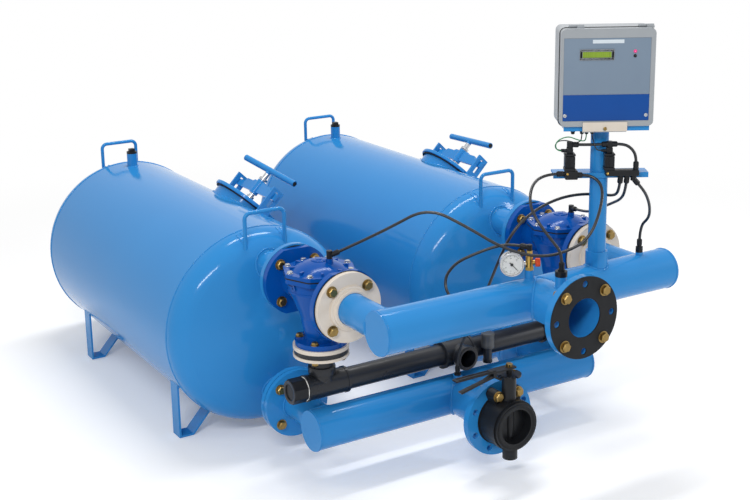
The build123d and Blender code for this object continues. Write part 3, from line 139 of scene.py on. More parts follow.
print("camera at", [round(value, 3) for value in eye], "lens", round(camera_data.lens, 1))

# %% [markdown]
# Eight stiff black polyethylene tubes of 8 mm carry the water that works the valves, and three
# thin wires feed the coils. Each is one smooth curve whose control points are the corners of the
# route in the drawing, so the tube keeps its real length and bends as wide as such tube does.

# %% Tubes and wires
CONE_TAP = (400.0, 90.0)
REAR_TAP = (-156.0, 0.0)
TUBE_WIDTH = 8.0
WIRE_WIDTH = 3.0

CORD_ROUTES = {
    "tube_1": [
        spot(-389, -422, 655), spot(-345, -455, 681), spot(-280, -518, 729), spot(-200, -585, 789),
        spot(-128, -662, 741), spot(-62, -735, 687), spot(20, -800, 664), spot(102, -838, 692),
        on_post(-40, 146, 727), on_post(-18, 122, 772), on_post(-4.2, 90.2, 810.8),
        on_post(-4.2, 66.2, 834.8), on_post(-16.2, 51.5, 849.5), on_post(-37, 43, 858), on_post(-61, 43, 858),
    ],
    "tube_2": [
        on_post(-110, 43, 862), on_post(-148, 43, 862), on_post(-190, 82, 846), on_post(-204, 145, 805),
        on_post(-183, 180, 765), on_post(-150, 194, 722), on_post(-124, 196, 690), on_post(-124, 196, 655),
    ],
    "tube_3": [on_post(-73, 44, 941), on_post(-33, 44, 939.5), on_post(7, 44, 941)],
    "tube_4": [
        on_post(29, 44, 941), on_post(57, 44, 941), on_post(77.8, 44, 928), on_post(89.8, 44, 907.2),
        on_post(89.8, 44, 883.2),
    ],
    "tube_5": [
        on_post(50, 41, 843), on_post(50, 29, 812), on_post(46, -4, 788), on_post(18, -42, 782),
        on_post(-36, -50, 783), on_post(-98, -26, 779), on_post(-160, 16, 764), on_post(-212, 44, 733),
        on_post(-246, 54, 688), spot(-10, -648, 632), spot(-14, -620, 572), spot(-14, -584, 504),
        spot(-14, -534, 425), spot(-14, -484, 345), spot(-14, -458, 290), spot(-14, -458, 250),
    ],
    "tube_6": [
        on_post(67, 41, 843), on_post(67, 30, 812), on_post(66, -14, 776), on_post(52, -88, 744),
        on_post(38, -170, 710), on_post(28, -250, 678), on_post(12, -325, 660), spot(432.6, -430.7, 655),
    ],
    "tube_7": [
        on_post(92, 43, 838), on_post(109.6, 37, 818.5), on_post(128.4, 16, 790.8),
        on_post(144.9, -16, 751.6), on_post(151.2, -51, 711), tap(CONE_TAP, 140), tap(CONE_TAP, 92),
    ],
    "tube_8": [
        spot(3, -734, 684), spot(-17, -697, 685), spot(-49, -668, 674), spot(-88, -640, 655),
        spot(-124.8, -611.8, 631.7), spot(-146.6, -595.5, 599.2), spot(-154.4, -597.8, 573.2),
        spot(-156.7, -611.1, 552.6), tap(REAR_TAP, 116), tap(REAR_TAP, 91.6),
    ],
    "wire_1_green": [
        on_post(-42, 34, 972), on_post(-42, 34, 955.5), on_post(-50, 49, 950), on_post(-72, 60, 958),
        on_post(-90, 61, 966), on_post(-107, 59, 963), on_post(-122, 54, 953), on_post(-126, 50, 938),
        on_post(-118, 48, 925), on_post(-104.5, 48, 925),
    ],
    "wire_1_black": [
        on_post(-54, 34, 972), on_post(-54, 34, 958), on_post(-60, 50, 950), on_post(-76, 60, 949),
        on_post(-92, 58, 954), on_post(-106, 54, 955), on_post(-120, 48, 951), on_post(-126, 42, 938),
        on_post(-119.5, 38, 925), on_post(-104.5, 38, 925),
    ],
    "wire_2_black": [
        on_post(-27, 34, 972), on_post(-27, 34, 958), on_post(-25, 50, 950), on_post(-22, 57, 937),
        on_post(-15, 50, 925), on_post(0, 50, 925),
    ],
}


def lay_cord(name, route, width):
    """One tube or wire as a NURBS curve through its route's control points.

    Blender pads a curve's box by each point's own radius, so the points carry the real one."""
    data = bpy.data.curves.new(f"{name}_run", "CURVE")
    data.dimensions = "3D"
    data.bevel_depth = 1.0
    data.bevel_resolution = 4
    data.resolution_u = 10
    data.use_fill_caps = True
    spline = data.splines.new("NURBS")
    spline.points.add(len(route) - 1)
    for point, place in zip(spline.points, route):
        point.co = (*place, 1.0)
        point.radius = width / 2 * MM
    spline.order_u = 3
    spline.use_endpoint_u = True
    strand = bpy.data.objects.new(f"{name}_run", data)
    bpy.context.scene.collection.objects.link(strand)
    return strand


def line_of(strand):
    """The points that Blender draws along a curve without its thickness."""
    bare = strand.copy()
    bare.data = strand.data.copy()
    bare.data.bevel_depth = 0.0
    bpy.context.scene.collection.objects.link(bare)
    bpy.context.view_layer.update()
    mesh = bpy.data.meshes.new_from_object(bare.evaluated_get(bpy.context.evaluated_depsgraph_get()))
    points = [vertex.co.copy() for vertex in mesh.vertices]
    bpy.data.objects.remove(bare)
    return points


cords = {}
for name, route in CORD_ROUTES.items():
    width = TUBE_WIDTH if name.startswith("tube") else WIRE_WIDTH
    strand = lay_cord(name, route, width)
    points = line_of(strand)
    length = sum((b - a).length for a, b in zip(points, points[1:]))
    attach(strand, "frame")
    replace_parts(strand, name)
    cords[name] = strand
    print(name, "length", round(length * 1000), "mm")

# %% [markdown]
# A material is built from nodes, and each node needs its numbers and its links. One function adds
# a node with both, and a second turns the hex colours of a paint chart into Blender's linear ones.

# %% Material helpers


def linear(code, alpha=1.0):
    """An sRGB hex colour as linear values."""
    channels = []
    for start in (0, 2, 4):
        value = int(code[start:start + 2], 16) / 255
        channels.append(value / 12.92 if value <= 0.04045 else ((value + 0.055) / 1.055) ** 2.4)
    return (*channels, alpha)


def add_node(tree, kind, inputs=None, **properties):
    """Add one node; inputs are values or the sockets that feed it, properties are its settings."""
    node = tree.nodes.new(f"ShaderNode{kind}")
    for name, value in properties.items():
        setattr(node, name, value)
    for name, value in (inputs or {}).items():
        socket = node.inputs[name]
        if isinstance(value, bpy.types.NodeSocket):
            tree.links.new(value, socket)
        else:
            socket.default_value = value
    return node


MIX_FACTOR, MIX_A, MIX_B, MIX_COLOUR = 0, 6, 7, 2


def mixed(tree, factor, first, second):
    """A colour between two, which are hex codes or sockets, by a factor's socket."""
    first, second = (linear(colour) if isinstance(colour, str) else colour for colour in (first, second))
    node = add_node(tree, "Mix", {MIX_FACTOR: factor, MIX_A: first, MIX_B: second}, data_type="RGBA")
    return node.outputs[MIX_COLOUR]


def start_material(name):
    """An empty material with its shader, output and the object's coordinates."""
    material = bpy.data.materials.new(name)
    material.use_nodes = True
    tree = material.node_tree
    tree.nodes.clear()
    shader = add_node(tree, "BsdfPrincipled")
    add_node(tree, "OutputMaterial", {"Surface": shader.outputs[0]})
    return material, tree, shader, add_node(tree, "TexCoord").outputs["Object"]


def moulded(name, colour, shade, roughness, grain, depth, metallic=0.0, coat=0.0, patch=60.0, sheen=0.12,
            shine=0.5):
    """A surface of one stuff: two close colours in soft patches, a grain in relief, uneven gloss.

    grain and patch are sizes in millimetres, depth is the relief's height in millimetres, and shine
    is the strength of the reflection, where 0.5 is a plain plastic."""
    material, tree, shader, place = start_material(name)
    clouds = add_node(tree, "TexNoise", {"Vector": place, "Scale": 1000 / patch, "Detail": 3.0})
    grains = add_node(tree, "TexNoise", {"Vector": place, "Scale": 1000 / grain, "Detail": 2.0})
    gloss = add_node(tree, "MapRange", {
        "Value": clouds.outputs["Fac"], "From Min": 0.3, "From Max": 0.7,
        "To Min": roughness - sheen * roughness, "To Max": roughness + sheen * roughness,
    })
    bump = add_node(tree, "Bump", {"Height": grains.outputs["Fac"], "Distance": depth * MM, "Strength": 1.0})
    tree.links.new(mixed(tree, clouds.outputs["Fac"], colour, shade), shader.inputs["Base Color"])
    tree.links.new(gloss.outputs["Result"], shader.inputs["Roughness"])
    tree.links.new(bump.outputs["Normal"], shader.inputs["Normal"])
    shader.inputs["Metallic"].default_value = metallic
    shader.inputs["Specular IOR Level"].default_value = shine
    shader.inputs["Coat Weight"].default_value = coat
    shader.inputs["Coat Roughness"].default_value = 0.08
    return material


# %% [markdown]
# Steel tanks and pipes are shot-blasted and powder coated in sky blue. The coat flows as it
# bakes, so it is glossy with a faint orange-peel ripple of a few millimetres. The valves are iron
# castings under a deep blue epoxy, which still shows the sand mould's grain. Bolts are steel
# with a yellow zinc plate, whose gold shifts a little from bolt to bolt.

# %% Materials
finishes = {
    "tank_paint": moulded("powder_coat_sky_blue", "2A83C6", "2E88CB", 0.13, 6.0, 0.008, patch=300, shine=0.2),
    "valve_paint": moulded("cast_iron_blue_epoxy", "0552A8", "044A9B", 0.17, 2.6, 0.05, patch=40, shine=0.15),
    "zinc": moulded("yellow_zinc_plate", "A08653", "7C683E", 0.36, 1.5, 0.02, metallic=1.0, patch=9),
    "steel": moulded("bright_steel", "C4C6C9", "B2B5B9", 0.24, 1.2, 0.015, metallic=1.0, patch=12),
    "pvc": moulded("black_pvc_pipe", "1B1D22", "24272D", 0.3, 4.0, 0.05, patch=80, shine=0.35),
    "nylon": moulded("black_glass_filled_nylon", "131518", "1A1C20", 0.4, 1.1, 0.06, patch=25, shine=0.25),
    "rubber": moulded("black_epdm_rubber", "17181B", "1E2023", 0.62, 1.0, 0.06, patch=18, shine=0.2),
    "ring": moulded("beige_nylon_ring", "DDD4C9", "CFC3B3", 0.36, 1.6, 0.05, patch=30),
    "box": moulded("grey_polycarbonate_box", "A2A7AB", "9A9FA4", 0.38, 1.4, 0.05, patch=70, shine=0.35),
    "panel": moulded("grey_printed_panel", "76879A", "7B8C9E", 0.46, 0.9, 0.03, patch=60, shine=0.3),
    "blue_panel": moulded("blue_printed_panel", "07458F", "094A98", 0.4, 0.9, 0.02, patch=60, shine=0.25),
    "brass": moulded("turned_brass", "C9A65C", "B8924A", 0.3, 1.0, 0.02, metallic=1.0, patch=14),
    "orange": moulded("orange_abs_knob", "E8541E", "DB4A17", 0.38, 1.0, 0.04, patch=10),
    "white": moulded("white_acetal", "F0F0EC", "E4E4DF", 0.4, 1.0, 0.03, patch=20),
    "ink": moulded("black_dial_ink", "101113", "17181A", 0.5, 0.8, 0.01, patch=10),
    "tube": moulded("black_polyethylene_tube", "17181B", "1F2124", 0.3, 3.0, 0.05, patch=40),
    "green_wire": moulded("green_pvc_insulation", "2E8A57", "287D4E", 0.4, 1.5, 0.03, patch=20),
    "sand": moulded("silica_sand", "B5A582", "8E7F60", 0.9, 1.2, 0.6, patch=4),
    "board": moulded("solder_mask_board", "15633A", "0F5230", 0.4, 2.0, 0.05, patch=14),
    "iron": moulded("coated_iron_disc", "4A4D50", "3D4043", 0.4, 1.4, 0.08, patch=20),
}


def two_finishes(name, under, over, start, direction, edge, soft=0.4):
    """One material that changes along a direction, for a piece of two finishes such as a painted bar."""
    material, tree, shader, place = start_material(name)
    offset = add_node(tree, "VectorMath", {0: place, 1: tuple(start)}, operation="SUBTRACT")
    along = add_node(tree, "VectorMath", {0: offset.outputs[0], 1: tuple(direction)}, operation="DOT_PRODUCT")
    step = add_node(tree, "MapRange", {
        "Value": along.outputs["Value"], "From Min": (edge - soft) * MM, "From Max": (edge + soft) * MM,
    })
    grains = add_node(tree, "TexNoise", {"Vector": place, "Scale": 400.0, "Detail": 2.0})
    bump = add_node(tree, "Bump", {"Height": grains.outputs["Fac"], "Distance": 0.00003, "Strength": 1.0})
    clouds = add_node(tree, "TexNoise", {"Vector": place, "Scale": 60.0, "Detail": 3.0})
    shades = [mixed(tree, clouds.outputs["Fac"], low, high) for low, high in (under[0], over[0])]
    tree.links.new(mixed(tree, step.outputs["Result"], *shades), shader.inputs["Base Color"])
    for socket, low, high in (("Roughness", under[1], over[1]), ("Metallic", under[2], over[2])):
        change = add_node(tree, "MapRange", {"Value": step.outputs["Result"], "To Min": low, "To Max": high})
        tree.links.new(change.outputs["Result"], shader.inputs[socket])
    tree.links.new(bump.outputs["Normal"], shader.inputs["Normal"])
    shader.inputs["Specular IOR Level"].default_value = 0.2
    return material


BLUE_PAINT = (("2A83C6", "2E88CB"), 0.2, 0.0)
BARE_STEEL = (("C4C6C9", "B2B5B9"), 0.26, 1.0)
CLOSURE_TURN = radians(46.0)
CLOSURE_UP = Vector((cos(CLOSURE_TURN), 0, sin(CLOSURE_TURN)))
SCREW_TOP = 440.0
for number, tank_x in TANK_X.items():
    finishes[f"screw_{number}"] = two_finishes(
        f"painted_bar_on_bright_screw_{number}", BARE_STEEL, BLUE_PAINT, spot(tank_x, CLOSURE_Y, TANK_Z),
        CLOSURE_UP, SCREW_TOP)


def lit(name, colour, strength, roughness=0.3):
    """A finish that glows a little, such as a lamp or a screen."""
    material = moulded(name, colour, colour, roughness, 2.0, 0.01)
    shader = next(node for node in material.node_tree.nodes if node.type == "BSDF_PRINCIPLED")
    shader.inputs["Emission Color"].default_value = linear(colour)
    shader.inputs["Emission Strength"].default_value = strength
    return material


finishes["pink"] = lit("pink_lamp_lens", "D8387C", 0.35, 0.12)
finishes["light_strip"] = moulded("pale_printed_strip", "D9E2E8", "CBD6DE", 0.4, 1.0, 0.01, patch=30)
glass, tree, shader, place = start_material("clear_window_glass")
shader.inputs["Base Color"].default_value = linear("FFFFFF")
shader.inputs["Transmission Weight"].default_value = 1.0
shader.inputs["Roughness"].default_value = 0.02
shader.inputs["IOR"].default_value = 1.2
finishes["glass"] = glass

# The screen's cells are 5 by 8 mm blocks of dots, faintly darker than the ground.
screen, tree, shader, place = start_material("green_liquid_crystal_screen")
turned_place = add_node(tree, "Mapping", {"Vector": place, "Rotation": (0, 0, STAND_TURN)})
cells = add_node(tree, "TexBrick", {
    "Vector": turned_place.outputs[0], "Color1": linear("7C9A1C"), "Color2": linear("748F18"),
    "Mortar": linear("86A524"), "Scale": 100.0, "Mortar Size": 0.06, "Brick Width": 0.5, "Row Height": 0.5,
})
tree.links.new(cells.outputs["Color"], shader.inputs["Base Color"])
shader.inputs["Roughness"].default_value = 0.12
shader.inputs["Emission Color"].default_value = linear("6E8B14")
shader.inputs["Emission Strength"].default_value = 0.1
finishes["screen"] = screen

NODE_FINISH = {
    "tank_legs": "tank_paint", "tank_handles": "tank_paint", "tank_nozzles": "tank_paint",
    "inlet_header": "tank_paint", "outlet_header": "tank_paint", "controller_post": "tank_paint",
    "bonnet_screws": "steel", "lid_gaskets": "rubber", "flange_gaskets": "rubber",
    "underdrains": "white", "media_beds": "sand", "backwash_pipe": "pvc", "flange_rings": "ring",
    "flange_bolts": "zinc", "plugs": "nylon", "butterfly_body": "nylon", "butterfly_disc": "nylon",
    "butterfly_lever": "nylon", "butterfly_trigger": "nylon", "controller_box": "box",
    "controller_cover": "box", "controller_board": "board", "solenoid_1": "nylon",
    "solenoid_2": "nylon", "gauge_body": "steel", "gauge_needle": "ink", "gauge_cock": "brass",
    "gauge_knob": "orange", "tube_fittings": "nylon",
}
for number in TANK_X:
    for part in ("vessel", "neck", "lid", "bridge"):
        NODE_FINISH[f"tank_{number}_{part}"] = "tank_paint"
    NODE_FINISH[f"tank_{number}_clamp_screw"] = f"screw_{number}"
    NODE_FINISH[f"tank_{number}_clamp_pad"] = "steel"
    NODE_FINISH[f"valve_{number}_body"] = "valve_paint"
    NODE_FINISH[f"valve_{number}_bonnet"] = "valve_paint"
    NODE_FINISH[f"valve_{number}_diaphragm"] = "rubber"
    NODE_FINISH[f"valve_{number}_plug"] = "brass"


def paint(piece, finish):
    """Give a piece one of the finishes."""
    piece.data.materials.clear()
    piece.data.materials.append(finishes[finish])


for name, finish in NODE_FINISH.items():
    paint(nodes[name], finish)
for name, strand in cords.items():
    cord_finish = "green_wire" if "green" in name else "tube"
    paint(strand, cord_finish)
    paint(nodes[name], cord_finish)
print("finishes:", len(finishes))

# %% [markdown]
# The added pieces are modelled as by hand. A primitive is added, shaped in edit mode, and its
# mesh is then moved to its place. Most small parts of a machine are turned, so one helper works
# like a lathe: it starts with a circle and extrudes and resizes it step by step.

# %% Modelling helpers


def primitive(name, add, **settings):
    """Add one primitive, alone in the selection, and name it."""
    bpy.ops.object.select_all(action="DESELECT")
    add(**settings)
    piece = bpy.context.active_object
    piece.name = name
    return piece


def apply_modifier(piece, kind, **settings):
    """Add a modifier with its settings and apply it."""
    modifier = piece.modifiers.new(kind.lower(), kind)
    for key, value in settings.items():
        setattr(modifier, key, value)
    bpy.context.view_layer.objects.active = piece
    bpy.ops.object.modifier_apply(modifier=modifier.name)


def turned(name, steps, sides=48, ring=False):
    """A turned piece through (radius, height) steps in millimetres; a ring's steps close on themselves."""
    radius, height = steps[0]
    piece = primitive(name, bpy.ops.mesh.primitive_circle_add, vertices=sides, radius=radius * MM,
                      fill_type="NOTHING" if ring else "NGON")
    piece.data.transform(Matrix.Translation((0, 0, height * MM)))
    bpy.ops.object.mode_set(mode="EDIT")
    bpy.ops.mesh.select_all(action="SELECT")
    ends = (*steps[1:], steps[0]) if ring else steps[1:]
    for (from_radius, from_height), (to_radius, to_height) in zip(steps, ends):
        rise = (to_height - from_height) * MM
        bpy.ops.mesh.extrude_region_move(TRANSFORM_OT_translate={"value": (0, 0, rise)})
        scale = to_radius / from_radius
        bpy.ops.transform.resize(value=(scale, scale, 1.0), center_override=(0, 0, to_height * MM))
    bpy.ops.mesh.select_all(action="SELECT")
    bpy.ops.mesh.remove_doubles(threshold=0.00001)
    bpy.ops.mesh.normals_make_consistent(inside=False)
    bpy.ops.object.mode_set(mode="OBJECT")
    return piece


def slab(name, size, corner=1.0, segments=3):
    """A block of the given size in millimetres, standing on its base, with rounded edges."""
    piece = primitive(name, bpy.ops.mesh.primitive_cube_add, size=1.0)
    piece.data.transform(Matrix.Diagonal((size[0] * MM, size[1] * MM, size[2] * MM, 1.0)))
    piece.data.transform(Matrix.Translation((0, 0, size[2] / 2 * MM)))
    apply_modifier(piece, "BEVEL", width=corner * MM, segments=segments)
    return piece


def twin(piece, name):
    """A copy with a mesh of its own."""
    copy = piece.copy()
    copy.data = piece.data.copy()
    copy.name = name
    bpy.context.scene.collection.objects.link(copy)
    return copy


def joined(name, pieces):
    """Several pieces as one object."""
    bpy.ops.object.select_all(action="DESELECT")
    for piece in pieces:
        piece.select_set(True)
    bpy.context.view_layer.objects.active = pieces[0]
    if len(pieces) > 1:
        bpy.ops.object.join()
    pieces[0].name = name
    return pieces[0]


def moved(piece, place):
    """Move a piece's mesh, not its object."""
    piece.data.transform(place)
    return piece


def select_only(piece):
    """Select one piece and make it the active one."""
    bpy.ops.object.select_all(action="DESELECT")
    piece.select_set(True)
    bpy.context.view_layer.objects.active = piece


def fit(piece, finish, body="frame", angle=32.0):
    """A finished piece gets its smooth shading, finish and body."""
    select_only(piece)
    bpy.ops.object.shade_smooth_by_angle(angle=radians(angle))
    paint(piece, finish)
    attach(piece, body)
    return piece


def round_bar(name, places, radius, resolution, closed=True, swells=None):
    """A mesh of round section along the places, whose thickness may swell from one to the next."""
    data = bpy.data.curves.new(name, "CURVE")
    data.dimensions = "3D"
    data.bevel_depth = radius * MM
    data.bevel_resolution = resolution
    data.use_fill_caps = True
    spline = data.splines.new("POLY")
    spline.points.add(len(places) - 1)
    for index, place in enumerate(places):
        spline.points[index].co = (*place, 1.0)
        spline.points[index].radius = swells[index] if swells else 1.0
    spline.use_cyclic_u = closed
    piece = bpy.data.objects.new(name, data)
    bpy.context.scene.collection.objects.link(piece)
    select_only(piece)
    bpy.ops.object.convert(target="MESH")
    return bpy.context.active_object


# %% [markdown]
# Every joint of the steelwork is welded, and a weld is what makes it look made rather than
# drawn. A bead follows the line where two parts meet. That line is found by casting rays on the
# solid model, and the bead's thickness ripples as the welder's hand moved. Real ripples are
# about 2 mm apart, and here they are 7 mm apart, so that they show.

# %% Weld beads
RIPPLE, RIPPLE_SWELL = 7.0, 0.13


def surface_of(*names):
    """Something to cast rays on, made from nodes of the solid model."""
    vertices, faces = [], []
    for name in names:
        mesh = nodes[name].data
        first = len(vertices)
        vertices.extend(vertex.co.copy() for vertex in mesh.vertices)
        faces.extend([first + index for index in polygon.vertices] for polygon in mesh.polygons)
    return BVHTree.FromPolygons(vertices, faces)


def bead(name, points, width, closed=True):
    """A rippled bead along the points."""
    run = sum((b - a).length for a, b in zip(points, points[1:])) / MM
    waves = max(3, round(run / RIPPLE))
    swells = [1.0 + RIPPLE_SWELL * sin(2 * pi * waves * index / len(points)) for index in range(len(points))]
    return fit(round_bar(name, points, width / 2, 2, closed, swells), "tank_paint", angle=60.0)


def ring_line(surface, centre, axis, radius, start, points):
    """Where a pipe of that radius meets a surface, seen along its axis from start millimetres out."""
    frame_of = facing(centre, axis)
    line = []
    for index in range(points):
        turn = 2 * pi * index / points
        origin = frame_of @ Vector((radius * cos(turn) * MM, radius * sin(turn) * MM, start * MM))
        hit = surface.ray_cast(origin, -axis.normalized())[0]
        if hit is not None:
            line.append(hit)
    return line


def flat_ring(centre, axis, radius, points):
    """A circle of points."""
    frame_of = facing(centre, axis)
    turns = [2 * pi * index / points for index in range(points)]
    return [frame_of @ Vector((radius * cos(turn) * MM, radius * sin(turn) * MM, 0)) for turn in turns]


beads = []
for number, tank_x in TANK_X.items():
    shell = surface_of(f"tank_{number}_vessel")
    for end, weld_y in (("front", 0.0), ("rear", BARREL)):
        line = flat_ring(spot(tank_x, weld_y, TANK_Z), Y, TANK_R - 0.3, 1100)
        beads.append(bead(f"tank_{number}_{end}_girth_weld", line, 4.6))
    for height, flange_y in ((UPPER_Z, -221.0), (LOWER_Z, -197.0)):
        level_name = "upper" if height == UPPER_Z else "lower"
        line = ring_line(shell, spot(tank_x, 0, height), -Y, 46.2, 260, 160)
        beads.append(bead(f"tank_{number}_{level_name}_nozzle_weld", line, 7.0))
        line = flat_ring(spot(tank_x, flange_y, height), Y, 46.0, 160)
        beads.append(bead(f"tank_{number}_{level_name}_flange_weld", line, 5.5))
    line = ring_line(shell, spot(tank_x, CLOSURE_Y, TANK_Z), CLOSURE_UP, 111.0, 380, 260)
    beads.append(bead(f"tank_{number}_neck_weld", line, 6.5))
    line = ring_line(shell, spot(tank_x, VENT_Y, TANK_Z), UP, 19.2, 400, 80)
    beads.append(bead(f"tank_{number}_vent_weld", line, 4.5))
    for end, end_y, outward in (("front", 0.0, -1), ("rear", BARREL, 1)):
        for side in (-1, 1):
            for flank in (-1, 1):
                line = []
                for step in range(24):
                    reach = 20.0 + 28.0 * step / 23
                    origin = spot(tank_x + side * 64.0 + flank * 6.6, end_y + outward * (64.0 - reach), 760.0)
                    hit = shell.ray_cast(origin, -UP)[0]
                    if hit is not None:
                        line.append(hit)
                letters = ("a" if side < 0 else "b") + ("a" if flank < 0 else "b")
                label = f"tank_{number}_{end}_handle_weld_{letters}"
                if len(line) > 2:
                    beads.append(bead(label, line, 4.0, closed=False))

upper = surface_of("inlet_header")
lower = surface_of("outlet_header")
JOINTS = [
    (upper, "upper_branch_1_weld", spot(-420, HEADER_Y, UPPER_Z), Y, 46.2, 100, 160, 6.5),
    (upper, "upper_branch_2_weld", spot(420, HEADER_Y, UPPER_Z), Y, 46.2, 100, 160, 6.5),
    (upper, "gauge_stub_weld", spot(GAUGE_X, HEADER_Y, UPPER_Z), UP, 13.3, 75, 60, 4.0),
    (upper, "pilot_stub_weld", spot(INLET_X, -850, UPPER_Z), UP, 16.2, 80, 64, 4.0),
    (upper, "post_socket_weld", spot(POST_X, HEADER_Y, UPPER_Z), UP, 31.5, 90, 110, 5.5),
    (lower, "lower_branch_1_weld", spot(-420, OUTLET_Y, LOWER_Z), Y, 46.2, 100, 160, 6.5),
    (lower, "lower_branch_2_weld", spot(420, OUTLET_Y, LOWER_Z), Y, 46.2, 100, 160, 6.5),
    (lower, "outlet_pilot_weld", spot(-14, -458, LOWER_Z), UP, 14.3, 70, 60, 4.0),
]
for surface, name, centre, axis, radius, start, count, width in JOINTS:
    beads.append(bead(name, ring_line(surface, centre, axis, radius, start, count), width))
FLAT_JOINTS = [
    ("inlet_flange_weld", spot(INLET_X, -921.5, UPPER_Z), Y, 59.2, 6.0),
    ("outlet_flange_weld", spot(OUTLET_X, -613.5, LOWER_Z), Y, 59.2, 6.0),
    ("upper_left_cap_weld", spot(-459.5, HEADER_Y, UPPER_Z), X, 57.0, 3.4),
    ("upper_right_cap_weld", spot(493.5, HEADER_Y, UPPER_Z), X, 57.0, 3.4),
    ("lower_left_cap_weld", spot(-475.5, OUTLET_Y, LOWER_Z), X, 57.0, 3.4),
    ("lower_right_cap_weld", spot(482.5, OUTLET_Y, LOWER_Z), X, 57.0, 3.4),
    ("lower_flange_1_weld", spot(-420, -233.5, LOWER_Z), Y, 46.0, 5.5),
    ("lower_flange_2_weld", spot(420, -233.5, LOWER_Z), Y, 46.0, 5.5),
]
for name, centre, axis, radius, width in FLAT_JOINTS:
    beads.append(bead(name, flat_ring(centre, axis, radius, 160), width))
print("weld beads:", len(beads))


def saddle(centre, radius, count=240):
    """The line where two pipes of one size meet square."""
    line = []
    for index in range(count):
        turn = 2 * pi * index / count
        line.append(centre + Vector((radius * cos(turn), -radius * abs(cos(turn)), radius * sin(turn))) * MM)
    return line


bead("inlet_tee_weld", saddle(spot(INLET_X, HEADER_Y, UPPER_Z), 57.6), 6.5)
bead("outlet_tee_weld", saddle(spot(OUTLET_X, OUTLET_Y, LOWER_Z), 57.6), 6.5)

# %% [markdown]
# The flanges are drawn together by hexagon bolts with plain washers. A head has a chamfered
# crown, and the nut's end shows a few threads. One head and one nut are modelled and copied to
# every place of a set, so all are alike, as bought bolts are.

# %% Bolts
BOLT_R = 8.0
FLANGE_CIRCLE = 152


def washer_of(radius):
    """A plain washer for a bolt of that radius, standing on Z = 0."""
    hole, rim, edge = radius * 1.05, radius * 1.95, radius * 1.85
    return turned("washer", [(hole, 0), (rim, 0), (rim, 1.5), (edge, 1.8), (hole, 1.8)], 32, ring=True)


def head_of(radius):
    """A bolt head on its washer, standing on Z = 0."""
    corner = radius * 1.65
    crown = turned("crown", [(corner, 1.8), (corner, radius * 1.2), (radius * 1.42, radius * 1.42)], 6)
    dimple = turned("dimple", [(radius * 1.3, radius * 1.4), (radius * 1.2, radius * 1.5)], 32)
    return joined("bolt_head", [washer_of(radius), crown, dimple])


def nut_of(radius):
    """A nut on its washer with the bolt's threaded end, standing on Z = 0."""
    body = turned("nut", [(radius * 1.45, 1.8), (radius * 1.65, 2.8), (radius * 1.65, radius * 1.6),
                          (radius * 1.45, radius * 1.72)], 6)
    threads = [(radius * 0.96, radius * 1.6)]
    for step in range(5):
        low = radius * 1.6 + step * 0.7
        threads += [(radius * 0.88, low + 0.2), (radius * 0.97, low + 0.5)]
    threads.append((radius * 0.8, threads[-1][1] + 0.5))
    return joined("bolt_nut", [washer_of(radius), body, turned("thread", threads, 24)])


def bolt_set(name, places, radius, nuts=True, finish="zinc"):
    """Bolts at (place, length) pairs; each place has the head's normal as its local Z."""
    head, nut = head_of(radius), nut_of(radius)
    pieces = []
    for index, (place, length) in enumerate(places):
        turn = Matrix.Rotation(radians(17.0 * index), 4, "Z")
        pieces.append(moved(twin(head, "bolt"), place @ turn))
        if nuts:
            under = place @ Matrix.Translation((0, 0, -length * MM)) @ Matrix.Rotation(pi, 4, "X") @ turn
            pieces.append(moved(twin(nut, "bolt"), under))
    bpy.data.objects.remove(head)
    bpy.data.objects.remove(nut)
    return fit(joined(name, pieces), finish)


def circle_places(centre, normal, circle, count, start, length):
    """Places for bolts on a pitch circle."""
    frame_of = facing(centre, normal)
    found = []
    for step in range(count):
        turn = radians(start + 360.0 * step / count)
        shift = Matrix.Translation((circle / 2 * cos(turn) * MM, circle / 2 * sin(turn) * MM, 0))
        found.append((frame_of @ shift, length))
    return found


bolt_groups = {
    "inlet_flange_bolts": circle_places(spot(INLET_X, -945.5, UPPER_Z), FRONT, 180, 4, 45, 23.5),
    "outlet_valve_bolts": [
        (facing(spot(OUTLET_X + 90 * cos(turn), -671.0, LOWER_Z + 90 * sin(turn)), FRONT), 57.0)
        for turn in (radians(67.5), radians(112.5))],
}
port_places = []
for number, tank_x in TANK_X.items():
    for group, y, z, length in (("valve_{}_front", -545, UPPER_Z, 37), ("valve_{}_rear", -258, UPPER_Z, 37),
                                ("branch_{}", -232, LOWER_Z, 35)):
        bolt_groups[f"{group.format(number)}_bolts"] = circle_places(
            spot(tank_x, y, z), FRONT, FLANGE_CIRCLE, 4, 45, length)
    port_places += circle_places(spot(tank_x, VALVE_Y, 408), UP, 122, 4, 45, 47)
bolt_sets = [bolt_set(name, places, BOLT_R) for name, places in bolt_groups.items()]
bolt_sets.append(bolt_set("valve_port_bolts", port_places, 6.0))
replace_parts(bolt_sets[0], "flange_bolts")
screw_places = []
for tank_x in TANK_X.values():
    screw_places += circle_places(spot(tank_x, VALVE_Y, 608), UP, 178, 8, 0, 0)
bonnet_screw_set = bolt_set("bonnet_hex_screws", screw_places, 4.6, nuts=False, finish="steel")
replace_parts(bonnet_screw_set, "bonnet_screws")
print("bolt sets:", len(bolt_sets) + 1)

# %% [markdown]
# Each closure's tee bar is a length of pipe with a black plug pushed into both ends. A plug
# stands a millimetre proud and leaves the pipe's painted rim to be seen round it.

